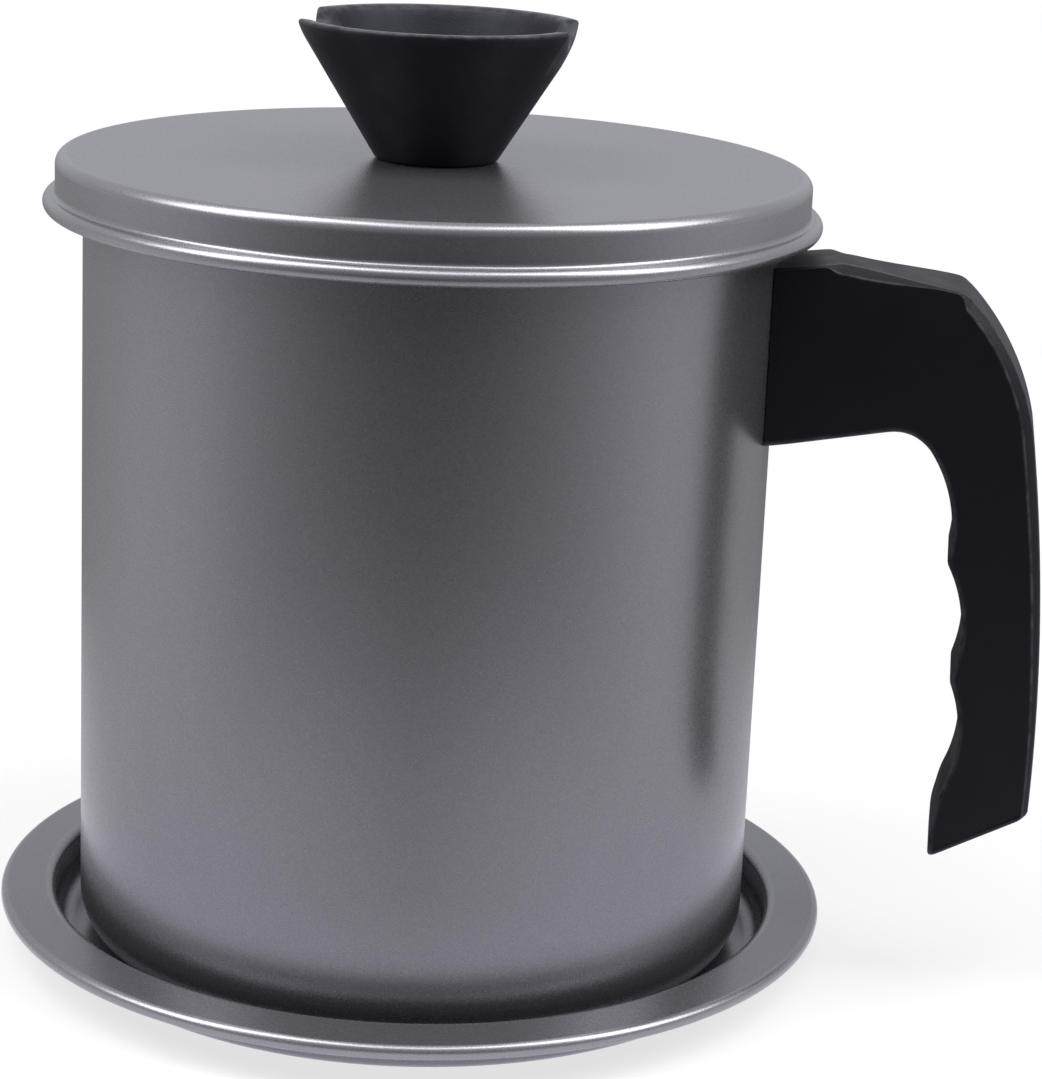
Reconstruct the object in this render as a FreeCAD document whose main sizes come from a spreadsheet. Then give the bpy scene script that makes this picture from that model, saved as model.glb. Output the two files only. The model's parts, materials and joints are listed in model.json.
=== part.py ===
"""Bacon grease container: a lidded pot with a strainer, on a drip tray.

Units are millimetres and degrees.  The origin is at the middle of the tray's
underside, +Z is up, and the handle points along +X.  Every sub-part is an
object of one document, and its sizes are bound to the sheet "Dims".
"""
import FreeCAD, Part
import math
import os
import Sketcher

doc = FreeCAD.newDocument("GreaseContainer")

# ---------------------------------------------------------------- dimensions
DIMENSIONS = [
    # the drip tray
    ("tray_sheet", 0.7, "thickness of the tray's sheet"),
    ("tray_wall_gap", 4.5, "gap between the pot and the well's wall"),
    ("tray_crest", 9.4, "height of the crest round the well"),
    ("tray_rim_drop", 0.4, "fall of the flange from the crest to the rim"),
    ("tray_flange_width", 7.6, "width of the flange, from the wall to the curl's middle"),
    ("tray_corner", 4.0, "outer radius of the well's corner"),
    ("tray_crest_bend", 1.6, "radius over the crest"),
    ("tray_curl", 1.3, "outer radius of the tray's rolled rim"),
    # the pot
    ("pot_sheet", 0.7, "thickness of the pot's sheet"),
    ("pot_radius", 60.0, "outer radius of the pot"),
    ("pot_height", 138.7, "height of the pot, from its underside to its rim"),
    ("pot_corner", 8.0, "outer radius of the pot's bottom corner"),
    ("pot_curl", 1.6, "outer radius of the pot's rolled rim"),
    # the strainer
    ("strainer_sheet", 0.5, "thickness of the strainer's ring and hoop"),
    ("strainer_gap", 0.9, "gap between the strainer's wall and the pot's wall"),
    ("strainer_flange", 4.0, "width of the flange that rests on the rim"),
    ("strainer_depth", 13.0, "depth from the flange's top to the ledge"),
    ("strainer_bend", 1.2, "outer bend radius of the strainer's ring"),
    ("ledge_width", 4.4, "width of the ledge that carries the mesh"),
    ("mesh_thickness", 0.5, "thickness of the woven mesh"),
    ("mesh_depth", 21.0, "depth of the mesh bowl below the ledge"),
    ("mesh_play", 0.3, "side play of the mesh and the hoop inside the ring"),
    ("hoop_width", 2.6, "width of the hoop that clamps the mesh"),
    # the lid
    ("lid_sheet", 0.7, "thickness of the lid's sheet"),
    ("lid_play", 1.5, "side play between the skirt and the pot's rolled rim"),
    ("skirt_depth", 8.2, "depth of the skirt, from the lid's top to the curl's middle"),
    ("lid_shoulder", 1.9, "outer radius of the lid's shoulder"),
    ("lid_curl", 1.4, "outer radius of the lid's rolled hem"),
    ("hem_bend", 0.7, "radius in the corner between the skirt and the hem"),
    # the knob
    ("knob_foot_radius", 10.3, "radius of the knob's foot"),
    ("knob_top_radius", 24.6, "radius of the knob's rim"),
    ("knob_height", 23.8, "height of the knob"),
    ("knob_wall", 2.7, "level thickness of the petals"),
    ("knob_floor", 11.6, "height of the hollow's floor above the foot"),
    ("knob_edge", 0.6, "bevel round the knob's foot"),
    ("knob_rim_round", 0.8, "rounding of the rim's edges"),
    ("hollow_round", 4.0, "radius round the hollow's floor"),
    ("notch_width", 17.0, "width of the two notches in the knob's rim"),
    ("notch_depth", 6.2, "depth of the two notches"),
    ("notch_round", 1.2, "rounding of the notches' lower corners"),
    ("petal_round", 1.1, "rounding of the petals' upper corners"),
    ("insert_radius", 3.2, "outer radius of the threaded insert"),
    ("insert_length", 8.5, "length of the threaded insert"),
    # the handle
    ("handle_width", 17.0, "width of the handle"),
    ("handle_fit", 0.15, "gap between the handle's root and the pot's wall"),
    ("root_sink", 1.0, "length of the root's blank that the wall's groove takes off"),
    ("root_top_drop", 12.4, "drop of the arm's top at the pot, below the pot's rim"),
    ("root_bottom_drop", 43.3, "drop of the arm's underside at the pot"),
    ("thumb_reach", 9.5, "reach of the arm's highest point from the wall"),
    ("thumb_drop", 11.1, "drop of the arm's highest point"),
    ("shoulder_reach", 31.6, "reach of the shoulder, where the arm turns down"),
    ("shoulder_drop", 14.5, "drop of the shoulder"),
    ("knuckle_reach", 44.7, "reach of the knuckle, where the spine's bend ends"),
    ("knuckle_drop", 37.4, "drop of the knuckle"),
    ("knuckle_bend", 45.0, "radius of the spine's bend, above the knuckle"),
    ("spine_bow", 304.0, "radius of the spine's long bow, below the knuckle"),
    ("tip_reach", 50.4, "reach of the spine's lower end"),
    ("tip_drop", 108.5, "drop of the spine's lower end"),
    ("heel_reach", 33.5, "reach of the grip's inner lower end"),
    ("heel_drop", 114.2, "drop of the grip's inner lower end"),
    ("flare_drop", 107.9, "drop of the lowest groove's end"),
    ("crotch_reach", 24.6, "reach of the crotch, between the arm and the grip"),
    ("crotch_drop", 38.4, "drop of the crotch"),
    ("ridge_upper_reach", 31.9, "reach of the upper ridge"),
    ("ridge_upper_drop", 61.2, "drop of the upper ridge"),
    ("ridge_lower_reach", 33.9, "reach of the lower ridge"),
    ("ridge_lower_drop", 82.2, "drop of the lower ridge"),
    ("groove_upper", 24.5, "radius of the upper finger groove"),
    ("groove_middle", 25.0, "radius of the middle finger groove"),
    ("groove_lower", 35.0, "radius of the lower finger groove"),
    ("ridge_round", 3.0, "rounding over the ridges"),
    ("crotch_round", 5.0, "rounding in the crotch"),
    ("thumb_round", 9.0, "rounding over the arm's highest point"),
    ("tip_round", 2.4, "rounding of the grip's lower outer corner"),
    ("spine_bevel", 1.8, "bevel along the spine's edges"),
    ("grip_round", 1.0, "rounding of the grip's inner edges"),
    # the bracket and its screw
    ("saddle_sheet", 1.5, "thickness of the bracket's saddle"),
    ("saddle_width", 11.0, "width of the bracket"),
    ("saddle_height", 24.0, "height of the saddle on the pot's wall"),
    ("tongue_drop", 27.4, "drop of the tongue's middle below the pot's rim"),
    ("tongue_tail", 7.0, "length of the tongue beyond its screw"),
    ("tongue_thickness", 3.0, "thickness of the tongue"),
    ("socket_play", 0.2, "play of the bracket inside the handle, on each side"),
    ("screw_setback", 7.6, "distance of the handle's screw from the crotch, towards the pot"),
    ("seat_wall", 5.7, "thickness of the arm between the screw's seat and the tongue's socket"),
    ("screw_radius", 2.0, "radius of both screws' shanks"),
    ("thread_play", 0.05, "gap between a screw's shank and its thread"),
    ("hole_play", 0.3, "gap between a screw's shank and a plain hole"),
    ("head_radius", 3.6, "radius of both screws' heads"),
    ("head_height", 2.4, "height of both screws' heads"),
    ("head_round", 1.2, "radius round both screws' heads"),
    ("washer_radius", 4.4, "radius of both washers"),
    ("washer_sheet", 0.8, "thickness of both washers"),
    ("well_play", 0.4, "gap between a washer and the handle's screw well"),
    ("screw_end", 0.8, "length of the handle's screw that stands out above the tongue"),
    ("insert_spare", 1.4, "length of the insert's thread beyond the end of its screw"),
]
ALIASES = {alias for alias, _, _ in DIMENSIONS}
CLEAR = 5  # how far a cutter reaches past what it cuts
GROOVE_DEPTH = 2.5  # the finger grooves are no deeper than this
NEAR = 0.01  # places, sizes and volumes that differ by less are the same
CORNER = 0.5  # an edge this close to a corner of the outline belongs to it

dims = doc.addObject("Spreadsheet::Sheet", "Dims")
for row, (alias, size, meaning) in enumerate(DIMENSIONS, start=1):
    dims.set(f"A{row}", alias)
    dims.set(f"B{row}", str(size))
    dims.set(f"C{row}", meaning)
    dims.setAlias(f"B{row}", alias)
doc.recompute()

# ------------------------------------------------- levels and radii they share
POT_BASE = "tray_sheet"
POT_RIM = f"({POT_BASE} + pot_height)"
POT_INNER = "(pot_radius - pot_sheet)"
STRAINER_TOP = f"({POT_RIM} + strainer_sheet)"
STRAINER_OUTER = f"({POT_INNER} - strainer_gap)"
LEDGE_TOP = f"({STRAINER_TOP} - strainer_depth)"
INNER_BEND = "(strainer_bend - strainer_sheet)"
MESH_OUTER = f"({STRAINER_OUTER} - strainer_bend - mesh_play)"
MESH_INNER = f"({STRAINER_OUTER} - ledge_width - mesh_play)"
LID_UNDERSIDE = STRAINER_TOP
LID_TOP = f"({LID_UNDERSIDE} + lid_sheet)"
SKIRT_INNER = f"({POT_INNER} + 2 * pot_curl + lid_play)"
SCREW_HOLE = "(screw_radius + hole_play)"
THREAD_HOLE = "(screw_radius + thread_play)"
SCREW_X = "(pot_radius + crotch_reach - screw_setback)"
TONGUE_END = f"({SCREW_X} + tongue_tail)"
TONGUE_LEVEL = f"({POT_RIM} - tongue_drop)"
SCREW_SEAT = f"({TONGUE_LEVEL} - tongue_thickness / 2 - socket_play - seat_wall)"
HANDLE_SCREW = "(washer_sheet + seat_wall + socket_play + tongue_thickness + screw_end)"
KNOB_SCREW = "(washer_sheet + lid_sheet + insert_length - insert_spare)"


def bound(words):
    """Name the sheet in front of every alias in an expression."""
    out = []
    word = ""
    for letter in words + " ":
        if letter.isalnum() or letter == "_":
            word += letter
            continue
        out.append(f"Dims.{word}" if word in ALIASES else word)
        out.append(letter)
        word = ""
    return "".join(out).strip()


def worth(words):
    """The present value of an expression in aliases."""
    return float(dims.evalExpression(bound(words)))


# ------------------------------------------------------------ sketching tools
def new_body(label):
    """An empty body whose label is its node's name."""
    body = doc.addObject("PartDesign::Body", label)
    body.Label = label
    return body


def sketch_on(body, role, name):
    """A sketch attached to one of the body's own origin planes."""
    sketch = body.newObject("Sketcher::SketchObject", name)
    plane = next(f for f in body.Origin.OriginFeatures if f.Role == role)
    sketch.AttachmentSupport = [(plane, "")]
    sketch.MapMode = "FlatFace"
    return sketch


def pin(sketch, item, end, words, kind):
    """Hold one end of a segment at a bound distance from the sketch's origin."""
    if words == "0":
        axis = -2 if kind == "DistanceX" else -1
        sketch.addConstraint(Sketcher.Constraint("PointOnObject", item, end, axis))
        return
    size = worth(words)
    index = sketch.addConstraint(Sketcher.Constraint(kind, -1, 1, item, end, size))
    sketch.setExpression(f"Constraints[{index}]", bound(words))


def arc_between(start, end, turn, radius):
    """The short arc from start to end that turns left or right."""
    chord = end - start
    middle = (start + end) * 0.5
    rise = math.sqrt(max(radius * radius - chord.Length ** 2 / 4, 0.0))
    left = FreeCAD.Vector(-chord.y, chord.x, 0).normalize()
    centre = middle + left * (rise if turn == "left" else -rise)
    first, last = (start, end) if turn == "left" else (end, start)
    angles = [math.atan2(p.y - centre.y, p.x - centre.x) for p in (first, last)]
    circle = Part.Circle(centre, FreeCAD.Vector(0, 0, 1), radius)
    return Part.ArcOfCircle(circle, angles[0], angles[1])


def outline(sketch, corners):
    """Close an outline through corners given as expressions.

    (x, y) ends a straight side; (x, y, turn, radius) ends an arc that turns
    left or right.
    """
    points = [FreeCAD.Vector(worth(c[0]), worth(c[1]), 0) for c in corners]
    ends = []
    for index, corner in enumerate(corners):
        start, end = points[index - 1], points[index]
        if len(corner) == 2:
            item = sketch.addGeometry(Part.LineSegment(start, end))
            ends.append((item, 1, 2))
            continue
        turn, radius = corner[2], corner[3]
        item = sketch.addGeometry(arc_between(start, end, turn, worth(radius)))
        ends.append((item, 1, 2) if turn == "left" else (item, 2, 1))
    for index, corner in enumerate(corners):
        before, here = ends[index - 1], ends[index]
        joined = Sketcher.Constraint("Coincident", before[0], before[2], here[0], here[1])
        sketch.addConstraint(joined)
        pin(sketch, here[0], here[2], corner[0], "DistanceX")
        pin(sketch, here[0], here[2], corner[1], "DistanceY")
        if len(corner) == 4:
            radius = Sketcher.Constraint("Radius", here[0], worth(corner[3]))
            radius_index = sketch.addConstraint(radius)
            sketch.setExpression(f"Constraints[{radius_index}]", bound(corner[3]))
    return sketch


def rectangle(sketch, low_x, low_y, high_x, high_y):
    """A rectangle whose four sides are expressions."""
    return outline(sketch, [(low_x, low_y), (high_x, low_y), (high_x, high_y), (low_x, high_y)])


def circle_at(sketch, x, radius):
    """One circle on the sketch's X axis."""
    centre = FreeCAD.Vector(worth(x), 0, 0)
    item = sketch.addGeometry(Part.Circle(centre, FreeCAD.Vector(0, 0, 1), worth(radius)))
    pin(sketch, item, 3, x, "DistanceX")
    pin(sketch, item, 3, "0", "DistanceY")
    index = sketch.addConstraint(Sketcher.Constraint("Radius", item, worth(radius)))
    sketch.setExpression(f"Constraints[{index}]", bound(radius))
    return sketch


def revolved(body, sketch, name):
    """Turn a sketch all the way round the body's own Z axis."""
    feature = body.newObject("PartDesign::Revolution", name)
    feature.Profile = sketch
    feature.ReferenceAxis = (sketch, ["V_Axis"])
    feature.Angle = 360
    sketch.Visibility = False
    return feature


def padded(body, sketch, name, length):
    """Pad a sketch by half its length to each side."""
    feature = body.newObject("PartDesign::Pad", name)
    feature.Profile = sketch
    feature.Midplane = True
    feature.setExpression("Length", bound(length))
    return feature


def cut(body, sketch, name, length, both_ways):
    """Cut a pocket, to both sides of its sketch or along its normal."""
    doc.recompute()
    before = body.Shape.Volume
    feature = body.newObject("PartDesign::Pocket", name)
    feature.Profile = sketch
    feature.Midplane = both_ways
    feature.Reversed = not both_ways
    feature.setExpression("Length", bound(length))
    doc.recompute()
    if body.Shape.Volume > before - NEAR:
        raise RuntimeError(f"{name} cut nothing")
    return feature


def edges_of(shape, wanted):
    """Names of the edges whose middle point passes a test."""
    names = []
    for number, edge in enumerate(shape.Edges, start=1):
        middle = edge.valueAt((edge.FirstParameter + edge.LastParameter) / 2)
        if wanted(edge, middle):
            names.append(f"Edge{number}")
    return names


def dressed(body, kind, name, size, wanted):
    """Fillet or chamfer the edges of the body's tip that pass a test."""
    doc.recompute()
    base = body.Tip
    names = edges_of(base.Shape, wanted)
    if not names:
        raise RuntimeError(f"{name} found no edge")
    feature = body.newObject(f"PartDesign::{kind}", name)
    feature.Base = (base, names)
    feature.setExpression("Radius" if kind == "Fillet" else "Size", bound(size))
    doc.recompute()
    if feature.Shape.isNull() or not feature.Shape.isValid():
        raise RuntimeError(f"{name} failed on {names}")
    return feature


def across_at(x, z):
    """A test for the edge that runs across the handle through (x, z)."""
    place = FreeCAD.Vector(worth(x), 0, worth(z))

    def test(edge, middle):
        level = abs(edge.Vertexes[0].Z - edge.Vertexes[-1].Z) < NEAR
        return level and (middle - place).Length < CORNER

    return test


# --------------------------------------------------------------- the drip tray
def make_drip_tray():
    """A pressed saucer: flat well, upright wall, flange and rolled rim."""
    body = new_body("drip_tray")
    wall = "(pot_radius + tray_wall_gap + tray_sheet)"
    bend = "(tray_crest_bend - tray_sheet)"
    curl_x = f"({wall} + tray_flange_width)"
    rim_top = "(tray_crest - tray_rim_drop)"
    curl_z = f"({rim_top} - tray_curl)"
    curl_in = "(tray_curl - tray_sheet)"
    outline(sketch_on(body, "XZ_Plane", "TrayProfile"), [
        ("0", "0"),
        (f"{wall} - tray_corner", "0"),
        (wall, "tray_corner", "left", "tray_corner"),
        (wall, "tray_crest - tray_crest_bend"),
        (f"{wall} + {bend}", "tray_crest - tray_sheet", "right", bend),
        (curl_x, f"{rim_top} - tray_sheet"),
        (f"{curl_x} + {curl_in}", curl_z, "right", curl_in),
        (curl_x, f"{curl_z} - {curl_in}", "right", curl_in),
        (curl_x, f"{curl_z} - tray_curl"),
        (f"{curl_x} + tray_curl", curl_z, "left", "tray_curl"),
        (curl_x, rim_top, "left", "tray_curl"),
        (f"{wall} + {bend}", "tray_crest"),
        (f"{wall} - tray_sheet", "tray_crest - tray_crest_bend", "left", "tray_crest_bend"),
        (f"{wall} - tray_sheet", "tray_corner"),
        (f"{wall} - tray_corner", "tray_sheet", "right", "tray_corner - tray_sheet"),
        ("0", "tray_sheet"),
    ])
    revolved(body, body.Group[-1], "TrayTurned")
    return body


# ---------------------------------------------------------------------- the pot
def make_pot_body():
    """A drawn pot whose wall ends in a bead rolled outwards."""
    body = new_body("pot_body")
    curl_x = f"({POT_INNER} + pot_curl)"
    curl_z = f"({POT_RIM} - pot_curl)"
    curl_in = "(pot_curl - pot_sheet)"
    outline(sketch_on(body, "XZ_Plane", "PotProfile"), [
        ("0", POT_BASE),
        ("pot_radius - pot_corner", POT_BASE),
        ("pot_radius", f"{POT_BASE} + pot_corner", "left", "pot_corner"),
        ("pot_radius", curl_z),
        (curl_x, f"{curl_z} + {curl_in}", "right", curl_in),
        (f"{curl_x} + {curl_in}", curl_z, "right", curl_in),
        (curl_x, f"{curl_z} - {curl_in}", "right", curl_in),
        (curl_x, f"{curl_z} - pot_curl"),
        (f"{curl_x} + pot_curl", curl_z, "left", "pot_curl"),
        (curl_x, POT_RIM, "left", "pot_curl"),
        (POT_INNER, curl_z, "left", "pot_curl"),
        (POT_INNER, f"{POT_BASE} + pot_corner"),
        ("pot_radius - pot_corner", f"{POT_BASE} + pot_sheet", "right", "pot_corner - pot_sheet"),
        ("0", f"{POT_BASE} + pot_sheet"),
    ])
    revolved(body, body.Group[-1], "PotTurned")
    return body


# ----------------------------------------------------------------- the strainer
def make_strainer_rim():
    """A pressed ring: a flange on the pot's rim, a wall and an inward ledge."""
    body = new_body("strainer_rim")
    inner = f"({STRAINER_OUTER} - strainer_sheet)"
    ledge_in = f"({STRAINER_OUTER} - ledge_width)"
    flange_out = f"({STRAINER_OUTER} + strainer_flange)"
    outline(sketch_on(body, "XZ_Plane", "RingProfile"), [
        (flange_out, POT_RIM),
        (flange_out, STRAINER_TOP),
        (f"{inner} + strainer_bend", STRAINER_TOP),
        (inner, f"{STRAINER_TOP} - strainer_bend", "left", "strainer_bend"),
        (inner, f"{LEDGE_TOP} + {INNER_BEND}"),
        (f"{inner} - {INNER_BEND}", LEDGE_TOP, "right", INNER_BEND),
        (ledge_in, LEDGE_TOP),
        (ledge_in, f"{LEDGE_TOP} - strainer_sheet"),
        (f"{STRAINER_OUTER} - strainer_bend", f"{LEDGE_TOP} - strainer_sheet"),
        (STRAINER_OUTER, f"{LEDGE_TOP} - strainer_sheet + strainer_bend", "left", "strainer_bend"),
        (STRAINER_OUTER, f"{POT_RIM} - {INNER_BEND}"),
        (f"{STRAINER_OUTER} + {INNER_BEND}", POT_RIM, "right", INNER_BEND),
    ])
    revolved(body, body.Group[-1], "RingTurned")
    return body


def make_strainer_mesh():
    """The woven bowl as a thin shell, with a flat edge on the ledge."""
    body = new_body("strainer_mesh")
    sphere = f"(({MESH_INNER} * {MESH_INNER} + mesh_depth * mesh_depth) / (2 * mesh_depth))"
    bowl_low = f"{LEDGE_TOP} - mesh_depth"
    outline(sketch_on(body, "XZ_Plane", "MeshProfile"), [
        ("0", bowl_low),
        (MESH_INNER, LEDGE_TOP, "left", sphere),
        (MESH_OUTER, LEDGE_TOP),
        (MESH_OUTER, f"{LEDGE_TOP} + mesh_thickness"),
        (MESH_INNER, f"{LEDGE_TOP} + mesh_thickness"),
        ("0", f"{bowl_low} + mesh_thickness", "right", sphere),
    ])
    revolved(body, body.Group[-1], "MeshTurned")
    return body


def make_strainer_hoop():
    """The flat hoop that clamps the mesh's edge on the ledge."""
    body = new_body("strainer_hoop")
    low = f"{LEDGE_TOP} + mesh_thickness"
    profile = sketch_on(body, "XZ_Plane", "HoopProfile")
    rectangle(profile, f"{MESH_OUTER} - hoop_width", low, MESH_OUTER, f"{low} + strainer_sheet")
    revolved(body, profile, "HoopTurned")
    return body


# ---------------------------------------------------------------------- the lid
def make_lid_shell():
    """A pressed cap: flat top, rounded shoulder, skirt and a hem rolled out and under."""
    body = new_body("lid_shell")
    skirt_out = f"({SKIRT_INNER} + lid_sheet)"
    curl_x = f"({skirt_out} + hem_bend)"
    curl_z = f"({LID_TOP} - skirt_depth)"
    curl_in = "(lid_curl - lid_sheet)"
    bend_z = f"({curl_z} + lid_curl + hem_bend)"
    outline(sketch_on(body, "XZ_Plane", "LidProfile"), [
        (SCREW_HOLE, LID_UNDERSIDE),
        (f"{skirt_out} - lid_shoulder", LID_UNDERSIDE),
        (SKIRT_INNER, f"{LID_TOP} - lid_shoulder", "right", "lid_shoulder - lid_sheet"),
        (SKIRT_INNER, bend_z),
        (curl_x, f"{curl_z} + {curl_in}", "left", "hem_bend + lid_sheet"),
        (f"{curl_x} + {curl_in}", curl_z, "right", curl_in),
        (curl_x, f"{curl_z} - {curl_in}", "right", curl_in),
        (f"{curl_x} - {curl_in}", curl_z, "right", curl_in),
        (f"{curl_x} - lid_curl", curl_z),
        (curl_x, f"{curl_z} - lid_curl", "left", "lid_curl"),
        (f"{curl_x} + lid_curl", curl_z, "left", "lid_curl"),
        (curl_x, f"{curl_z} + lid_curl", "left", "lid_curl"),
        (skirt_out, bend_z, "right", "hem_bend"),
        (skirt_out, f"{LID_TOP} - lid_shoulder"),
        (f"{skirt_out} - lid_shoulder", LID_TOP, "left", "lid_shoulder"),
        (SCREW_HOLE, LID_TOP),
    ])
    revolved(body, body.Group[-1], "LidTurned")
    return body


def notch_outline(sketch, top):
    """The notch seen from the side: round lower corners, and rounds over the petals."""
    low = f"({top} - notch_depth)"
    side = "notch_width / 2"
    floor_end = f"({side} - notch_round)"
    petal_start = f"({side} + petal_round)"
    return outline(sketch, [
        (f"-{petal_start}", top),
        (f"-{side}", f"{top} - petal_round", "right", "petal_round"),
        (f"-{side}", f"{low} + notch_round"),
        (f"-{floor_end}", low, "left", "notch_round"),
        (floor_end, low),
        (side, f"{low} + notch_round", "left", "notch_round"),
        (side, f"{top} - petal_round"),
        (petal_start, top, "right", "petal_round"),
        (petal_start, f"{top} + {CLEAR}"),
        (f"-{petal_start}", f"{top} + {CLEAR}"),
    ])


def make_lid_knob():
    """A hollow inverted cone whose rim two notches part into petals."""
    body = new_body("lid_knob")
    flare = "((knob_top_radius - knob_foot_radius) / knob_height)"
    slant = f"sqrt(1 + {flare} ^ 2)"
    inner_top = "(knob_top_radius - knob_wall)"
    inner_low = f"({inner_top} - {flare} * (knob_height - knob_floor))"
    top = f"({LID_TOP} + knob_height)"
    # how far from the rim's sharp corners its rounds begin, outside and inside
    outer_cut = f"(knob_rim_round * ({slant} + {flare}))"
    inner_cut = f"(knob_rim_round * ({slant} - {flare}))"
    profile = sketch_on(body, "XZ_Plane", "KnobProfile")
    outline(profile, [
        ("insert_radius", LID_TOP),
        ("knob_foot_radius - knob_edge", LID_TOP),
        (f"knob_foot_radius + {flare} * knob_edge", f"{LID_TOP} + knob_edge"),
        (f"knob_top_radius - {outer_cut} * {flare} / {slant}", f"{top} - {outer_cut} / {slant}"),
        (f"knob_top_radius - {outer_cut}", top, "left", "knob_rim_round"),
        (f"{inner_top} + {inner_cut}", top),
        (f"{inner_top} - {inner_cut} * {flare} / {slant}",
         f"{top} - {inner_cut} / {slant}", "left", "knob_rim_round"),
        (inner_low, f"{LID_TOP} + knob_floor"),
        ("0", f"{LID_TOP} + knob_floor"),
        ("0", f"{LID_TOP} + insert_length"),
        ("insert_radius", f"{LID_TOP} + insert_length"),
    ])
    revolved(body, profile, "KnobTurned")
    floor_level = worth(f"{LID_TOP} + knob_floor")
    floor_radius = worth(inner_low)

    def round_the_floor(edge, middle):
        circle = isinstance(edge.Curve, Part.Circle)
        return circle and abs(middle.z - floor_level) < NEAR and edge.Curve.Radius > floor_radius - NEAR

    dressed(body, "Fillet", "HollowFillet", "hollow_round", round_the_floor)
    notches = notch_outline(sketch_on(body, "YZ_Plane", "NotchProfile"), top)
    cut(body, notches, "Notches", f"2 * knob_top_radius + {CLEAR}", True)
    return body


def make_knob_insert():
    """The threaded metal bush moulded into the knob's foot."""
    body = new_body("knob_insert")
    profile = sketch_on(body, "XZ_Plane", "InsertProfile")
    rectangle(profile, THREAD_HOLE, LID_TOP, "insert_radius", f"{LID_TOP} + insert_length")
    revolved(body, profile, "InsertTurned")
    return body


# --------------------------------------------------------- screws and washers
def make_washer(label, low):
    """A flat washer whose underside is at a given height."""
    body = new_body(label)
    profile = sketch_on(body, "XZ_Plane", "WasherProfile")
    rectangle(profile, SCREW_HOLE, low, "washer_radius", f"{low} + washer_sheet")
    revolved(body, profile, "WasherTurned")
    return body


def make_screw(label, seat, length):
    """A round-headed screw that points up, with its head below the seat."""
    body = new_body(label)
    head_low = f"({seat} - head_height)"
    profile = sketch_on(body, "XZ_Plane", "ScrewProfile")
    outline(profile, [
        ("0", head_low),
        ("head_radius - head_round", head_low),
        ("head_radius", f"{head_low} + head_round", "left", "head_round"),
        ("head_radius", seat),
        ("screw_radius", seat),
        ("screw_radius", f"{seat} + {length}"),
        ("0", f"{seat} + {length}"),
    ])
    revolved(body, profile, "ScrewTurned")
    return body


# ------------------------------------------------------- the handle's bracket
def make_handle_bracket():
    """A saddle welded to the wall, with a threaded tongue for the handle."""
    body = new_body("handle_bracket")
    saddle = sketch_on(body, "XZ_Plane", "SaddleProfile")
    half = "saddle_height / 2"
    face = "(pot_radius + saddle_sheet)"
    rectangle(saddle, "pot_radius", f"{TONGUE_LEVEL} - {half}", face, f"{TONGUE_LEVEL} + {half}")
    turned = body.newObject("PartDesign::Revolution", "SaddleTurned")
    turned.Profile = saddle
    turned.ReferenceAxis = (saddle, ["V_Axis"])
    turned.Midplane = True
    turned.setExpression("Angle", bound(f"2 * asin(saddle_width / 2 / {face})"))
    tongue = sketch_on(body, "XZ_Plane", "TongueProfile")
    half = "tongue_thickness / 2"
    root = "pot_radius + saddle_sheet / 2"
    rectangle(tongue, root, f"{TONGUE_LEVEL} - {half}", TONGUE_END, f"{TONGUE_LEVEL} + {half}")
    padded(body, tongue, "Tongue", "saddle_width")
    thread = circle_at(sketch_on(body, "XY_Plane", "ThreadCircle"), SCREW_X, THREAD_HOLE)
    cut(body, thread, "ThreadHole", f"{TONGUE_LEVEL} + tongue_thickness", False)
    return body


# ------------------------------------------------------------------ the handle
def spot(name):
    """A named place on the handle's outline: reach from the wall, drop from the rim."""
    return f"(pot_radius + {name}_reach)", f"({POT_RIM} - {name}_drop)"


def handle_outline(sketch):
    """The handle from the side: arm, bevelled spine, slanted end, three grooves."""
    return outline(sketch, [
        ("pot_radius - root_sink", f"{POT_RIM} - root_bottom_drop"),
        spot("crotch"),
        (*spot("ridge_upper"), "right", "groove_upper"),
        (*spot("ridge_lower"), "right", "groove_middle"),
        ("pot_radius + heel_reach", f"{POT_RIM} - flare_drop", "right", "groove_lower"),
        spot("heel"),
        spot("tip"),
        (*spot("knuckle"), "left", "spine_bow"),
        (*spot("shoulder"), "left", "knuckle_bend"),
        spot("thumb"),
        ("pot_radius - root_sink", f"{POT_RIM} - root_top_drop"),
    ])


def round_across(body, name, radius, places):
    """Round corners of the side outline, across the whole width."""
    tests = [across_at(*spot(place)) for place in places]
    dressed(body, "Fillet", name, radius, lambda edge, middle: any(t(edge, middle) for t in tests))


def bevel_spine(body):
    """Bevel both edges of the arm's top and of the spine."""
    side = worth("handle_width") / 2
    thumb_x = worth(spot("thumb")[0])
    shoulder_x, shoulder_z = (worth(words) for words in spot("shoulder"))
    knuckle_z = worth(spot("knuckle")[1])

    def on_spine(edge, middle):
        if abs(abs(middle.y) - side) > NEAR:
            return False
        on_top = thumb_x < middle.x < shoulder_x and middle.z > shoulder_z
        on_bend = middle.x > shoulder_x and knuckle_z < middle.z < shoulder_z
        on_bow = isinstance(edge.Curve, Part.Circle) and abs(edge.Curve.Radius - worth("spine_bow")) < NEAR
        return on_top or on_bend or on_bow

    dressed(body, "Chamfer", "SpineBevel", "spine_bevel", on_spine)


def soften_sides(body):
    """Round the side edges that have no bevel."""
    side = worth("handle_width") / 2
    root_x = worth("pot_radius")
    crotch_z = worth(spot("crotch")[1])
    valley_x = worth(spot("ridge_lower")[0]) + GROOVE_DEPTH

    def on_side(edge, middle):
        level = all(abs(abs(v.Y) - side) < NEAR for v in edge.Vertexes)
        low = middle.z < crotch_z + CORNER
        inside = root_x < middle.x < valley_x
        return level and low and inside and abs(abs(middle.y) - side) < NEAR

    dressed(body, "Fillet", "GripFillet", "grip_round", on_side)


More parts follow.
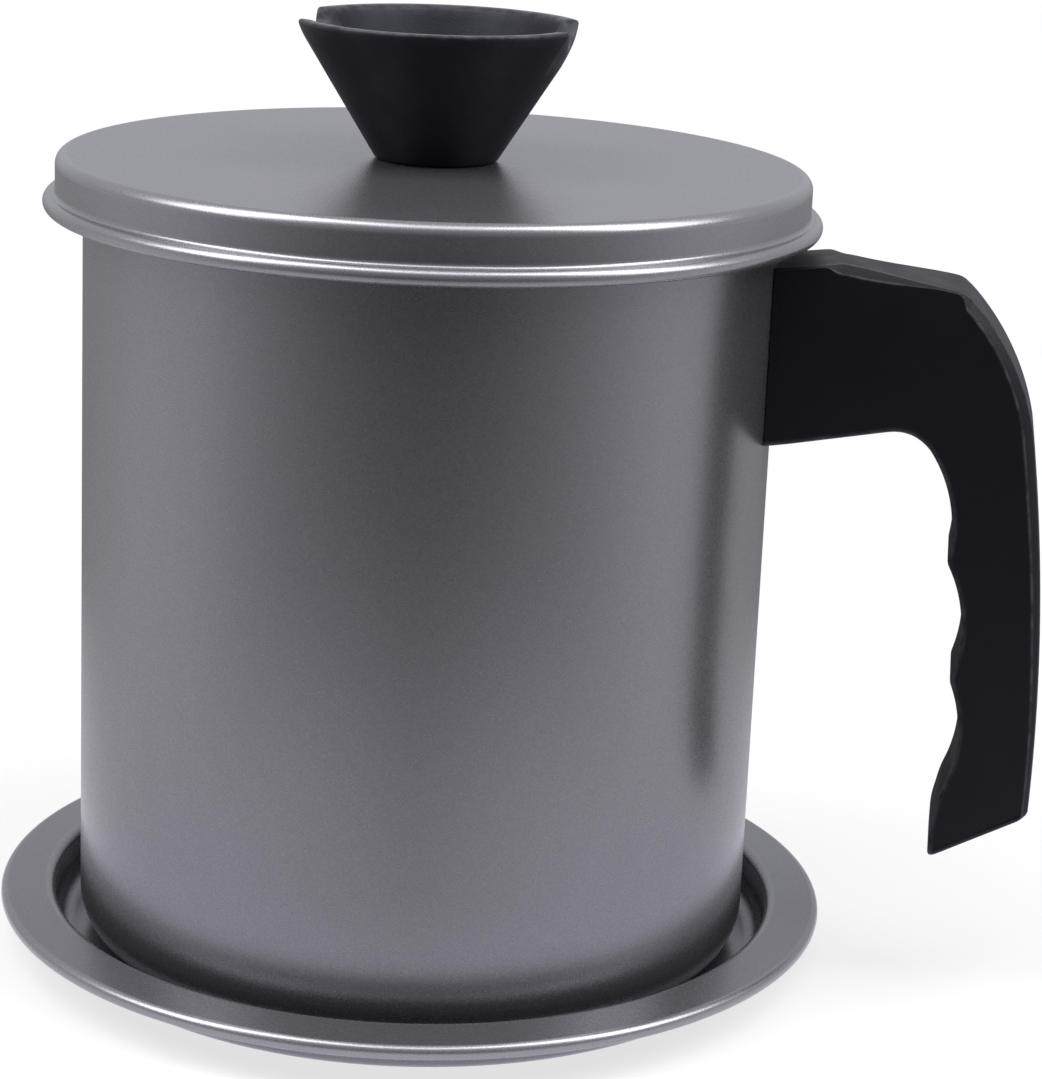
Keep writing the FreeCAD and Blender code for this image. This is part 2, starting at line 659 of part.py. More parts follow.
def fit_handle_to_pot(body):
    """Hollow the root to the pot's wall, the bracket and the screw."""
    root = sketch_on(body, "XZ_Plane", "WallProfile")
    low, high = f"{POT_RIM} - root_bottom_drop - {CLEAR}", f"{POT_RIM} - thumb_drop + {CLEAR}"
    rectangle(root, "0", low, "pot_radius + handle_fit", high)
    doc.recompute()
    before = body.Shape.Volume
    groove = body.newObject("PartDesign::Groove", "WallGroove")
    groove.Profile = root
    groove.ReferenceAxis = (root, ["V_Axis"])
    groove.Angle = 360
    doc.recompute()
    if body.Shape.Volume > before - NEAR:
        raise RuntimeError("WallGroove cut nothing")
    wide = "saddle_width + 2 * socket_play"
    half = "(saddle_height / 2 + socket_play)"
    saddle = sketch_on(body, "XZ_Plane", "SaddleSocket")
    rectangle(saddle, f"pot_radius - {CLEAR}", f"{TONGUE_LEVEL} - {half}",
              "pot_radius + saddle_sheet + socket_play", f"{TONGUE_LEVEL} + {half}")
    cut(body, saddle, "SaddlePocket", wide, True)
    half = "(tongue_thickness / 2 + socket_play)"
    tongue = sketch_on(body, "XZ_Plane", "TongueSocket")
    rectangle(tongue, f"pot_radius - {CLEAR}", f"{TONGUE_LEVEL} - {half}",
              f"{TONGUE_END} + socket_play", f"{TONGUE_LEVEL} + {half}")
    cut(body, tongue, "TonguePocket", wide, True)
    well = circle_at(sketch_on(body, "XY_Plane", "ScrewWell"), SCREW_X, "washer_radius + well_play")
    cut(body, well, "ScrewWellPocket", SCREW_SEAT, False)
    shank = circle_at(sketch_on(body, "XY_Plane", "ShankHole"), SCREW_X, SCREW_HOLE)
    cut(body, shank, "ShankPocket", f"{SCREW_SEAT} + {HANDLE_SCREW} + hole_play", False)


def make_handle_grip():
    """The moulded handle, with its socket for the bracket and its screw well."""
    body = new_body("handle_grip")
    profile = sketch_on(body, "XZ_Plane", "HandleProfile")
    handle_outline(profile)
    padded(body, profile, "HandlePad", "handle_width")
    round_across(body, "ThumbFillet", "thumb_round", ["thumb"])
    round_across(body, "CrotchFillet", "crotch_round", ["crotch"])
    round_across(body, "RidgeFillet", "ridge_round", ["ridge_upper", "ridge_lower"])
    bevel_spine(body)
    soften_sides(body)
    round_across(body, "TipFillet", "tip_round", ["tip"])
    fit_handle_to_pot(body)
    return body


def place_handle_screw(body):
    """Move a turned body out to the handle's screw."""
    body.setExpression("Placement.Base.x", bound(SCREW_X))
    return body


# ------------------------------------------------------------------- all of it
def make_all():
    """Every sub-part, in the order in which the object stacks up."""
    washer_low = f"({LID_UNDERSIDE} - washer_sheet)"
    handle_washer_low = f"({SCREW_SEAT} - washer_sheet)"
    return [
        make_drip_tray(),
        make_pot_body(),
        make_handle_bracket(),
        make_handle_grip(),
        place_handle_screw(make_washer("handle_washer", handle_washer_low)),
        place_handle_screw(make_screw("handle_screw", handle_washer_low, HANDLE_SCREW)),
        make_strainer_rim(),
        make_strainer_mesh(),
        make_strainer_hoop(),
        make_lid_shell(),
        make_lid_knob(),
        make_knob_insert(),
        make_washer("knob_washer", washer_low),
        make_screw("knob_screw", washer_low, KNOB_SCREW),
    ]


def check(sub_parts):
    """Stop if any object failed or any sub-part has no sound shape."""
    for item in doc.Objects:
        if "Invalid" in item.State or "Error" in item.State:
            raise RuntimeError(f"{item.Name} failed: {item.State}")
    for part in sub_parts:
        if part.Shape.isNull() or not part.Shape.isValid():
            raise RuntimeError(f"{part.Label} has no sound shape")
        box = part.Shape.optimalBoundingBox()
        print(
            f"{part.Label}: {len(part.Shape.Solids)} solid, {part.Shape.Volume:.1f} mm3, "
            f"x {box.XMin:.2f}..{box.XMax:.2f}, y {box.YMin:.2f}..{box.YMax:.2f}, "
            f"z {box.ZMin:.2f}..{box.ZMax:.2f}"
        )


sub_parts = make_all()
doc.recompute()
check(sub_parts)
os.makedirs("parts", exist_ok=True)
for part in sub_parts:
    part.Shape.exportStep(f"parts/{part.Label}.step")
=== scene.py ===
# %% [markdown]
# # A grease pot: metal-flake coated steel, moulded plastic and woven wire
#
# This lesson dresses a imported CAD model.  The model is a straight-sided pot that
# stands in a drip tray, with a strainer hung in its rim, a cap lid with a conical
# knob, and a moulded handle.  The CAD says where everything is and what moves.
# Here each visible piece gets a smooth surface worked out with numpy, and a
# finish made of shader nodes.  The first step loads the frame and measures it.
#
# %% Load the frame
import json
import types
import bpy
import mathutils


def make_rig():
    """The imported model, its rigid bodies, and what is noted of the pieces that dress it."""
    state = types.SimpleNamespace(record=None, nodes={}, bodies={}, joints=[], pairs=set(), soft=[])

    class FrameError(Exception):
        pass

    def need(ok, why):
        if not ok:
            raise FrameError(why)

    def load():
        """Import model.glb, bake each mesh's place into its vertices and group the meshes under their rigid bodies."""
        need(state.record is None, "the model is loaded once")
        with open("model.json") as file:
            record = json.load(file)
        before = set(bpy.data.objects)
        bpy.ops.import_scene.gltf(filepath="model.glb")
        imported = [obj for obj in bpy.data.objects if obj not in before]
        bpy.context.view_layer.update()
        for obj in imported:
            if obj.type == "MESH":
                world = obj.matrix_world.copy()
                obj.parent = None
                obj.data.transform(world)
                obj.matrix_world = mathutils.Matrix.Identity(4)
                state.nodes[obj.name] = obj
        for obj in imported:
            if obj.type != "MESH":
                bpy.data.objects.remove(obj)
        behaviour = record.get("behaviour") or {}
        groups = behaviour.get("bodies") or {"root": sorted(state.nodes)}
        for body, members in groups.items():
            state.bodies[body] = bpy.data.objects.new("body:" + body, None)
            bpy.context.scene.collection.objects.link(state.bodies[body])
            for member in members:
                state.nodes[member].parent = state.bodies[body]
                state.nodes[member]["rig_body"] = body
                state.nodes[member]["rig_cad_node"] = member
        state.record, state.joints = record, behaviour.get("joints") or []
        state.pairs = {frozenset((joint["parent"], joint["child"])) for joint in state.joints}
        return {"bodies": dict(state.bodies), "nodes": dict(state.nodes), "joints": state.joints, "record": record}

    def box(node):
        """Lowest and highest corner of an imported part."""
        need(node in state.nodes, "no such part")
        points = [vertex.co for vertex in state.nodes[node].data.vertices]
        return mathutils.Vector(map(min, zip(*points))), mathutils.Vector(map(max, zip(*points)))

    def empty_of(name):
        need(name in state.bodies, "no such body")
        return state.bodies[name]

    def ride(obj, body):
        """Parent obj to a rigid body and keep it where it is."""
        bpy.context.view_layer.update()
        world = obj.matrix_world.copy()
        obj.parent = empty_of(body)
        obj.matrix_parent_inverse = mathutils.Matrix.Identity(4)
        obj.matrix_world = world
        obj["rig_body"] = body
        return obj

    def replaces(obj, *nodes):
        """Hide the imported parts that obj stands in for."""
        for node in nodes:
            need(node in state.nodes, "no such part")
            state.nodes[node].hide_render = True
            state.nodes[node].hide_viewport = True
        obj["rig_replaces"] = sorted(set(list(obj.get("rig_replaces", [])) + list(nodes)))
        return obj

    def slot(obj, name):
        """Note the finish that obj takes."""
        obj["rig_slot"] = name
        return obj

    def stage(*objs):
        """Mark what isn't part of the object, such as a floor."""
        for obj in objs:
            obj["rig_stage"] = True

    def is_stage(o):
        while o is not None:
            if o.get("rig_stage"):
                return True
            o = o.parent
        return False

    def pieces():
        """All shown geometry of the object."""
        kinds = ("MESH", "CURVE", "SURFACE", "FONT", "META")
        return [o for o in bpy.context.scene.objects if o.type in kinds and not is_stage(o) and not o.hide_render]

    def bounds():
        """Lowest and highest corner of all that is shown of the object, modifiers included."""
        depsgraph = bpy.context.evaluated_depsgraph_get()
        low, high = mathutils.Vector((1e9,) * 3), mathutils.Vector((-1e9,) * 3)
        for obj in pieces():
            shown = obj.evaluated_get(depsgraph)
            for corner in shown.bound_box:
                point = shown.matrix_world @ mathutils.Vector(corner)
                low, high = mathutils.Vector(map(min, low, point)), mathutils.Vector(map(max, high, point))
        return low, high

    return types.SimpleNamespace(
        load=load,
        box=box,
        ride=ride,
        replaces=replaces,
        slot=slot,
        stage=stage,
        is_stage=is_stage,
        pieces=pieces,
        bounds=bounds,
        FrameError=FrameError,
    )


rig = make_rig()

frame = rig.load()

import json

import bpy
import numpy as np
from mathutils import Matrix, Vector

cad_box = [list(corner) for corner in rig.bounds()]
MM = 0.001  # the frame is in metres, and small sizes read better in millimetres
print("bodies:", sorted(frame["bodies"]))
print("nodes:", sorted(frame["nodes"]))
print("CAD box in mm:", np.round(np.array(cad_box) / MM, 1).tolist())

# %% [markdown]
# ## Sizes
#
# The places come from the CAD nodes' boxes, so the pieces stay on the frame if
# the pot is made in another size.  Only what a box can't say is written here:
# the sheet's thickness and the radii of the rolled edges and bends.
#
# %% Measure the CAD nodes
tray_high = np.array(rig.box("drip_tray")[1])
pot_low, pot_high = (np.array(corner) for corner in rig.box("pot_body"))
lid_low, lid_high = (np.array(corner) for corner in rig.box("lid_shell"))
knob_low, knob_high = (np.array(corner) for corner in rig.box("lid_knob"))
grip_high = np.array(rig.box("handle_grip")[1])
mesh_low, mesh_high = (np.array(corner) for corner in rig.box("strainer_mesh"))

SHEET = 0.7 * MM
POT_CURL = 1.6 * MM
POT_CORNER = 8.0 * MM
POT_R = pot_high[0] - 2 * POT_CURL + SHEET  # the rolled bead starts at the wall's inside
RIM_Z = pot_high[2]
print("pot radius and rim height in mm:", round(POT_R / MM, 2), round(RIM_Z / MM, 2))

# %% [markdown]
# ## Two small tools: profiles and turned surfaces
#
# Everything pressed or spun from sheet is a body of revolution: one closed
# outline of radius and height, carried round the Z axis.  The Screw modifier
# could do it, but a grid of numbers is exact, keeps its poles closed, and lets
# the straight runs carry extra rows beside each bend, so that smooth shading
# doesn't smear a bend's light over the flat next to it.
#
# %% Profiles from straight runs and bends
HUG = 0.25 * MM  # distance of the first extra row from the end of a straight run
SAME_POINT = 1e-7  # points closer than this, in metres, count as one


def straight(start, end, steps=2):
    """Points from start to end: even steps, with one more row HUG inside each end."""
    start, end = np.array(start, float), np.array(end, float)
    length = np.linalg.norm(end - start)
    hug = min(HUG / length, 0.25)
    share = np.unique(np.concatenate([[0, hug, 1 - hug, 1], np.linspace(hug, 1 - hug, steps + 1)]))
    return start + share[:, None] * (end - start)


def bend(centre, radius, start, stop, steps=8):
    """Points of an arc: centre plus radius times (cos a, sin a), a in degrees."""
    angle = np.radians(np.linspace(start, stop, steps + 1))
    return np.array(centre) + radius * np.stack([np.cos(angle), np.sin(angle)], axis=1)


def profile(*runs):
    """The runs joined end to end, each point that repeats the one before it left out."""
    points = np.concatenate([np.atleast_2d(run) for run in runs])
    fresh = np.linalg.norm(np.diff(points, axis=0), axis=1) > SAME_POINT
    return points[np.concatenate([[True], fresh])]


corner_points = profile(straight((0, 0), (4 * MM, 0)), bend((4 * MM, 2 * MM), 2 * MM, -90, 0))
print("a run of 4 mm and a bend of 2 mm take", len(corner_points), "points")

# %% [markdown]
# A mesh is only points and faces, and Blender takes whole arrays of both at once
# with foreach_set, which is far quicker than adding them one by one.  Faces have
# to point outwards.  So the signed volume is worked out first, and if it is below
# 0, every face is turned over.
#
# %% Meshes from arrays
def grid_quads(rows, columns, rows_meet=False, columns_meet=False):
    """Corner numbers of the quads of a rows-by-columns grid, wrapped where it meets."""
    row = np.arange(rows if rows_meet else rows - 1)
    column = np.arange(columns if columns_meet else columns - 1)
    row, column = (a.ravel() for a in np.meshgrid(row, column, indexing="ij"))
    below, beside = (row + 1) % rows, (column + 1) % columns
    corners = [row * columns + column, row * columns + beside]
    corners += [below * columns + beside, below * columns + column]
    return np.stack(corners, axis=1)


def fan(hub, ring):
    """Triangles from one hub point to each side of a closed ring of point numbers."""
    return np.stack([np.full(len(ring), hub), ring, np.roll(ring, -1)], axis=1)


def volume_of(points, faces):
    """Signed volume: the sum of a . (b x c) / 6 over triangles a, b, c, above 0 if they face out."""
    a = points[faces[:, 0]]
    total = 0.0
    for k in range(1, faces.shape[1] - 1):
        total += np.einsum("ij,ij->", a, np.cross(points[faces[:, k]], points[faces[:, k + 1]])) / 6
    return total


def piece_from(name, points, quads, triangles=None, body=None, sharp=40, edge=None):
    """Put arrays of points and faces into a smooth-shaded mesh that rides on a body.

    The edge array gives each point a number from 0 on flats to 1 on tight bends,
    and below 0 where a finish is duller than on any flat.  It is kept as a mesh
    attribute, so that a finish can differ along the edges.
    """
    groups = [quads] if triangles is None else [quads, triangles]
    if sum(volume_of(points, group) for group in groups) < 0:
        groups = [group[:, ::-1] for group in groups]
    sizes = np.concatenate([np.full(len(group), group.shape[1]) for group in groups])
    mesh = bpy.data.meshes.new(name)
    mesh.vertices.add(len(points))
    mesh.vertices.foreach_set("co", np.asarray(points, np.float32).ravel())
    mesh.loops.add(int(sizes.sum()))
    mesh.loops.foreach_set("vertex_index", np.concatenate([g.ravel() for g in groups]).astype(np.int32))
    mesh.polygons.add(len(sizes))
    mesh.polygons.foreach_set("loop_start", (np.cumsum(sizes) - sizes).astype(np.int32))
    mesh.update(calc_edges=True)
    mesh.validate()
    mesh.shade_smooth()
    mesh.set_sharp_from_angle(angle=np.radians(sharp))
    if edge is not None:
        values = mesh.attributes.new("edge", "FLOAT", "POINT")
        values.data.foreach_set("value", np.asarray(edge, np.float32))
    piece = bpy.data.objects.new(name, mesh)
    bpy.context.scene.collection.objects.link(piece)
    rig.ride(piece, body)
    volume = sum(volume_of(points, group) for group in groups) / MM ** 3
    print(f"{name}: {len(points)} points, {len(sizes)} faces, {volume:.0f} cubic mm")
    return piece


# %% [markdown]
# A turned surface wraps an outline round an axis.  Each of its points also gets
# one number, which says how tightly the outline bends there.  The finishes read
# it later: the coat is painted paler over a tight bend as a painted highlight, and
# the plastic's edges are polished by handling and painted paler, partly as wear
# and partly as a painted highlight.
#
# %% Turned surfaces
SLACK_BEND = 6.0 * MM  # a bend of this radius or more counts as flat
TIGHT_BEND = 2.0 * MM  # a bend of this radius or less counts as a tight edge


def tightness(outline, closed):
    """How tight the outline turns at each point, from 0 at SLACK_BEND to 1 at TIGHT_BEND.

    The curvature where sides a and b meet is 2 |a x b| / (|a| |b| (|a| + |b|)).
    """
    around = np.pad(outline, ((1, 1), (0, 0)), mode="wrap" if closed else "edge")
    before, after = around[1:-1] - around[:-2], around[2:] - around[1:-1]
    turn = np.abs(before[:, 0] * after[:, 1] - before[:, 1] * after[:, 0])
    lengths = np.linalg.norm(before, axis=1), np.linalg.norm(after, axis=1)
    curved = 2 * turn / (lengths[0] * lengths[1] * (lengths[0] + lengths[1]) + 1e-15)
    return np.clip((curved - 1 / SLACK_BEND) / (1 / TIGHT_BEND - 1 / SLACK_BEND), 0, 1)


def around_axis(radius, height, angle, axis=0.0):
    """Points x = axis + r cos a, y = r sin a, z = h, of arrays that broadcast together."""
    radius, height, angle = np.broadcast_arrays(radius, height, angle)
    return np.stack([axis + radius * np.cos(angle), radius * np.sin(angle), height], axis=-1)


def capped(points, first_pole, last_pole):
    """Close a grid round its columns, and fan its first and last rows to one pole each."""
    rows, columns = points.shape[:2]
    count = rows * columns
    around = np.arange(columns)
    poles = np.concatenate([fan(count, around[::-1]), fan(count + 1, count - columns + around)])
    points = np.concatenate([points.reshape(-1, 3), [first_pole, last_pole]])
    return points, grid_quads(rows, columns, columns_meet=True), poles


def turned(name, outline, body, spokes=256, closed=False, axis=0.0):
    """Carry an outline of (radius, height) round an upright axis.

    An open outline starts and ends on the axis, and each end becomes one pole.
    """
    if closed and np.allclose(outline[0], outline[-1], atol=SAME_POINT):
        outline = outline[:-1]
    edge = tightness(outline, closed)
    ring, ring_edge = (outline, edge) if closed else (outline[1:-1], edge[1:-1])
    angle = np.linspace(0, 2 * np.pi, spokes, endpoint=False)
    points = around_axis(ring[:, :1], ring[:, 1:], angle, axis)
    edge = np.repeat(ring_edge, spokes)
    if closed:
        quads = grid_quads(len(ring), spokes, rows_meet=True, columns_meet=True)
        return piece_from(name, points.reshape(-1, 3), quads, body=body, edge=edge)
    points, quads, poles = capped(points, [axis, 0, outline[0, 1]], [axis, 0, outline[-1, 1]])
    return piece_from(name, points, quads, poles, body=body, edge=np.append(edge, [0, 0]))


bends = bend((0, 0), SLACK_BEND, 0, 90), bend((0, 0), TIGHT_BEND, 0, 90)
print("tightness of two bends:", [round(float(tightness(arc, False)[4]), 2) for arc in bends])


# %% [markdown]
# ## The drip tray
#
# The real tray is pressed in one stroke: a flat well, an upright wall, a flange
# that falls a little to the outside, and a rim rolled under.  Its outline is
# walked once along the underside and back along the top, so that the sheet has
# its true thickness everywhere, the rolled rim included.
#
# %% Make the tray
TRAY_CURL = 1.3 * MM
TRAY_CORNER = 4.0 * MM
CREST_BEND = 1.6 * MM
FLANGE_WIDTH = 7.6 * MM
FLANGE_FALL = 0.4 * MM
TRAY_WALL = tray_high[0] - TRAY_CURL - FLANGE_WIDTH
CREST_Z = tray_high[2]
TRAY_RIM_Z = CREST_Z - FLANGE_FALL


def tray_outline():
    """The tray's sheet: underside from the axis to the rim's lip, then back on top."""
    bent = CREST_BEND - SHEET
    curl = (TRAY_WALL + FLANGE_WIDTH, TRAY_RIM_Z - TRAY_CURL)
    crest = (TRAY_WALL + bent, CREST_Z - CREST_BEND)
    well = (TRAY_WALL - TRAY_CORNER, TRAY_CORNER)
    return profile(
        straight((0, 0), (well[0], 0), 12),
        bend(well, TRAY_CORNER, -90, 0),
        straight((TRAY_WALL, TRAY_CORNER), (TRAY_WALL, crest[1])),
        bend(crest, bent, 180, 90, 5),
        straight((crest[0], CREST_Z - SHEET), (curl[0], TRAY_RIM_Z - SHEET)),
        bend(curl, TRAY_CURL - SHEET, 90, -90, 10),
        bend(curl, TRAY_CURL, -90, 90, 16),
        straight((curl[0], TRAY_RIM_Z), (crest[0], CREST_Z), 3),
        bend(crest, CREST_BEND, 90, 180, 8),
        straight((TRAY_WALL - SHEET, crest[1]), (TRAY_WALL - SHEET, TRAY_CORNER)),
        bend(well, TRAY_CORNER - SHEET, 0, -90),
        straight((well[0], SHEET), (0, SHEET), 12),
    )


tray = turned("tray_pressing", tray_outline(), "tray")
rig.replaces(tray, "drip_tray")
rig.slot(tray, "coated_steel")

# %% [markdown]
# ## The pot
#
# The pot is drawn from a flat blank, so its wall runs into the bottom in one
# round corner, and its mouth ends in a bead rolled outwards.  It is the same
# kind of outline as the tray's.
#
# %% Make the pot
def pot_outline():
    """The pot's sheet: outside from the axis up to the bead, then down the inside."""
    base = pot_low[2]
    corner = (POT_R - POT_CORNER, base + POT_CORNER)
    inner = POT_R - SHEET
    bead = (inner + POT_CURL, RIM_Z - POT_CURL)
    curl_in = POT_CURL - SHEET
    return profile(
        straight((0, base), (corner[0], base), 10),
        bend(corner, POT_CORNER, -90, 0, 14),
        straight((POT_R, corner[1]), (POT_R, bead[1]), 24),
        bend(bead, curl_in, 180, -90, 18),
        bend(bead, POT_CURL, -90, 180, 26),
        straight((inner, bead[1]), (inner, corner[1]), 24),
        bend(corner, POT_CORNER - SHEET, 0, -90, 14),
        straight((corner[0], base + SHEET), (0, base + SHEET), 10),
    )


pot = turned("pot_drawing", pot_outline(), "pot", spokes=320)
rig.replaces(pot, "pot_body")
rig.slot(pot, "coated_steel")

# %% [markdown]
# ## The lid
#
# The lid is a shallow cap: a flat top with a hole for the knob's screw, a round
# shoulder, a short skirt, and a hem that bends out and rolls under.  The hollow
# bend between skirt and hem matters: it is what makes the light run softly from
# one into the other, with no dark crease.
#
# %% Make the lid
LID_CURL = 1.4 * MM
LID_SHOULDER = 1.9 * MM
HEM_BEND = 0.7 * MM
SCREW_HOLE_R = 2.3 * MM


def lid_outline():
    """The lid's sheet, closed: out along the underside, round the hem, back on top."""
    top = lid_high[2]
    bead = (lid_high[0] - LID_CURL, lid_low[2] + LID_CURL)
    outer = bead[0] - HEM_BEND
    inner = outer - SHEET
    shoulder = (outer - LID_SHOULDER, top - LID_SHOULDER)
    hollow = (bead[0], bead[1] + LID_CURL + HEM_BEND)
    return profile(
        straight((SCREW_HOLE_R, top - SHEET), (shoulder[0], top - SHEET), 14),
        bend(shoulder, LID_SHOULDER - SHEET, 90, 0, 8),
        straight((inner, shoulder[1]), (inner, hollow[1]), 3),
        bend(hollow, HEM_BEND + SHEET, 180, 270, 8),
        bend(bead, LID_CURL - SHEET, 90, -180, 18),
        bend(bead, LID_CURL, -180, 90, 26),
        bend(hollow, HEM_BEND, 270, 180, 7),
        straight((outer, hollow[1]), (outer, shoulder[1]), 3),
        bend(shoulder, LID_SHOULDER, 0, 90, 14),
        straight((shoulder[0], top), (SCREW_HOLE_R, top), 14),
    )


lid = turned("lid_pressing", lid_outline(), "lid", spokes=320, closed=True)
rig.replaces(lid, "lid_shell")
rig.slot(lid, "coated_steel")

# %% [markdown]
# ## The knob
#
# The knob is moulded: an upside-down cone, hollow from above, whose rim two
# notches part into two petals.  A boolean would leave knife edges round the
# notches.  Instead, the rim's height is a function of the place round the rim:
# each column of the grid ends at its own height, and the columns crowd together
# where the height turns, so that the notches get round corners of their own.
# A notch is a wide V with a short floor, as it must be to come out of a mould.
#
# %% Columns and heights round the knob's rim
KNOB_FOOT_R = 10.4 * MM
KNOB_TOP_R = 25.2 * MM
KNOB_WALL = 2.7 * MM
KNOB_FLOOR = 11.6 * MM
HOLLOW_ROUND = 4.0 * MM
FOOT_ROUND = 0.6 * MM
RIM_ROUND = 0.9 * MM
RIM_BAND = 1.1 * MM  # the edge attribute fades out over this height below the rim
NOTCH_TOP_HALF = 10.1 * MM
NOTCH_FLOOR_HALF = 1.7 * MM
NOTCH_DEPTH = 6.2 * MM
NOTCH_FLOOR_ROUND = 1.2 * MM
NOTCH_STEEP = 0.02 * MM  # a column whose rim climbs more than this is in a notch's wall
NOTCH_MARGIN = 1.0 * MM  # a notch's edges are marked from this far below its floor
PETAL_CORNER = 1.1 * MM
KNOB_TURN = np.radians(2.4)  # how far the knob was screwed round past the handle's line
KNOB_HEIGHT = knob_high[2] - knob_low[2]
KNOB_FLARE = (KNOB_TOP_R - KNOB_FOOT_R) / KNOB_HEIGHT


def notch_columns():
    """One quarter of the rim as (offset across the notch, rim height, petal share).

    The offset grows over the notch's floor, turns up a fillet, climbs the slanted
    wall, turns over the petal's corner, and then the petal share runs from 0 to 1.
    A round of radius r meets both its lines r * tan(slant / 2) from their corner.
    """
    low, high = KNOB_HEIGHT - NOTCH_DEPTH, KNOB_HEIGHT
    slant = np.degrees(np.arctan2(NOTCH_DEPTH, NOTCH_TOP_HALF - NOTCH_FLOOR_HALF))
    share = np.tan(np.radians(slant) / 2)
    low_round = (NOTCH_FLOOR_HALF - share * NOTCH_FLOOR_ROUND, low + NOTCH_FLOOR_ROUND)
    high_round = (NOTCH_TOP_HALF + share * PETAL_CORNER, high - PETAL_CORNER)
    floor = np.stack([np.linspace(0, low_round[0], 4), np.full(4, low)], axis=1)
    fillet = bend(low_round, NOTCH_FLOOR_ROUND, -90, slant - 90, 6)
    corner = bend(high_round, PETAL_CORNER, 90 + slant, 90, 6)
    climb = profile(floor, fillet, straight(fillet[-1], corner[0], 12), corner)
    petal = np.linspace(0, 1, 22)[1:]
    offset = np.concatenate([climb[:, 0], np.full(len(petal), climb[-1, 0])])
    height = np.concatenate([climb[:, 1], np.full(len(petal), high)])
    return offset, height, np.concatenate([np.zeros(len(climb)), petal])


def column_angles(radius):
    """Angles of all columns at one radius: arcsin(offset / radius), then on to 90 degrees."""
    offset, _, petal = notch_columns()
    start = np.arcsin(np.clip(offset / radius, 0, 1))
    quarter = start + petal * (np.pi / 2 - start)
    half = np.concatenate([quarter[:-1], np.pi - quarter[:0:-1]])
    return np.concatenate([half, np.pi + half])


quarter_height = notch_columns()[1]
rim_height = np.concatenate([quarter_height[:-1], quarter_height[:0:-1]] * 2)
print("knob columns:", len(rim_height))

# %% [markdown]
# The rows run from the middle of the foot up the outside, over the rim, and down
# the hollow to the middle of its floor.  Both walls are cones of one slope, so
# one formula gives the radius at any height, less the wall's thickness inside.
#
# %% Make the knob
def outer_radius(height):
    """Radius of the knob's outside, which grows evenly with height."""
    return KNOB_FOOT_R + KNOB_FLARE * height


def knob_rows():
    """Rows of the knob as arrays of radius, height and angle, one value per column."""
    outer_angle = column_angles(KNOB_TOP_R)
    inner_angle = column_angles(KNOB_TOP_R - KNOB_WALL)
    below_rim = rim_height - RIM_ROUND
    rows = []

    def add(radius, height, angle):
        """Keep one row, with a single number spread over all columns."""
        rows.append(np.broadcast_arrays(radius, height, angle))

    for radius in np.linspace(0, KNOB_FOOT_R - 1.5 * FOOT_ROUND, 5)[1:]:
        add(radius, 0.0, outer_angle)
    for turn in np.radians(np.linspace(-90, 0, 5)):
        height = FOOT_ROUND * (1 + np.sin(turn))
        add(outer_radius(height) - FOOT_ROUND * (1 - np.cos(turn)), height, outer_angle)
    for share in np.linspace(0, 1, 17)[1:]:
        height = FOOT_ROUND + share * (below_rim - FOOT_ROUND)
        add(outer_radius(height), height, outer_angle)
    for turn in np.radians(np.linspace(0, 90, 6)[1:]):
        height = below_rim + RIM_ROUND * np.sin(turn)
        add(outer_radius(height) - RIM_ROUND * (1 - np.cos(turn)), height, outer_angle)
    add(outer_radius(rim_height) - KNOB_WALL / 2, rim_height, (outer_angle + inner_angle) / 2)
    for turn in np.radians(np.linspace(90, 0, 6)):
        height = below_rim + RIM_ROUND * np.sin(turn)
        add(outer_radius(height) - KNOB_WALL + RIM_ROUND * (1 - np.cos(turn)), height, inner_angle)
    slope = np.arctan2(1.0, KNOB_FLARE)
    reach = HOLLOW_ROUND * np.tan(0.5 * slope)
    flat_r = outer_radius(KNOB_FLOOR) - KNOB_WALL - reach
    fillet_top = KNOB_FLOOR + reach * np.sin(slope)
    for share in np.linspace(0, 1, 9)[1:]:
        height = below_rim + share * (fillet_top - below_rim)
        add(outer_radius(height) - KNOB_WALL, height, inner_angle)
    for turn in np.linspace(slope, 0, 8)[1:]:
        height = KNOB_FLOOR + HOLLOW_ROUND * (1 - np.cos(turn))
        add(flat_r + HOLLOW_ROUND * np.sin(turn), height, inner_angle)
    for radius in np.linspace(flat_r, 0, 6)[1:-1]:
        add(radius, KNOB_FLOOR, inner_angle)
    return rows


def make_knob():
    """Wrap the rows round Z, and close the foot and the hollow's floor with poles."""
    radius, height, angle = (np.array(values) for values in zip(*knob_rows()))
    foot = knob_low[2]
    points = around_axis(radius, foot + height, angle + KNOB_TURN)
    points, quads, poles = capped(points, [0, 0, foot], [0, 0, foot + KNOB_FLOOR])
    on_rim = 1 - np.clip((rim_height - height) / RIM_BAND, 0, 1)
    steep = np.abs(np.gradient(rim_height)) > NOTCH_STEEP
    on_notch = steep * (height > KNOB_HEIGHT - NOTCH_DEPTH - NOTCH_MARGIN)
    edge = np.append(np.maximum(on_rim, 0.5 * on_notch), [0, 0])
    return piece_from("knob_moulding", points, quads, poles, body="lid", sharp=60, edge=edge)


knob = make_knob()
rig.replaces(knob, "lid_knob")
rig.slot(knob, "plastic")

# %% [markdown]
# ## The handle
#
# The handle is one thick moulding: a short arm, a long spine with bevelled
# edges, and three finger grooves on the inside.  It could be a bevelled
# extrusion, but the bevel changes width along the spine.  So a section is
# carried along it instead: each station joins a point of the outer line to a
# point of the inner line, and the section's corners are cut and rounded by
# amounts that follow the station.
#
# %% The handle's side lines
def reach_drop(reach, drop):
    """A mark on the handle's side: reach from the pot's wall, drop from its rim, in mm."""
    return np.array([POT_R + reach * MM, RIM_Z - drop * MM])


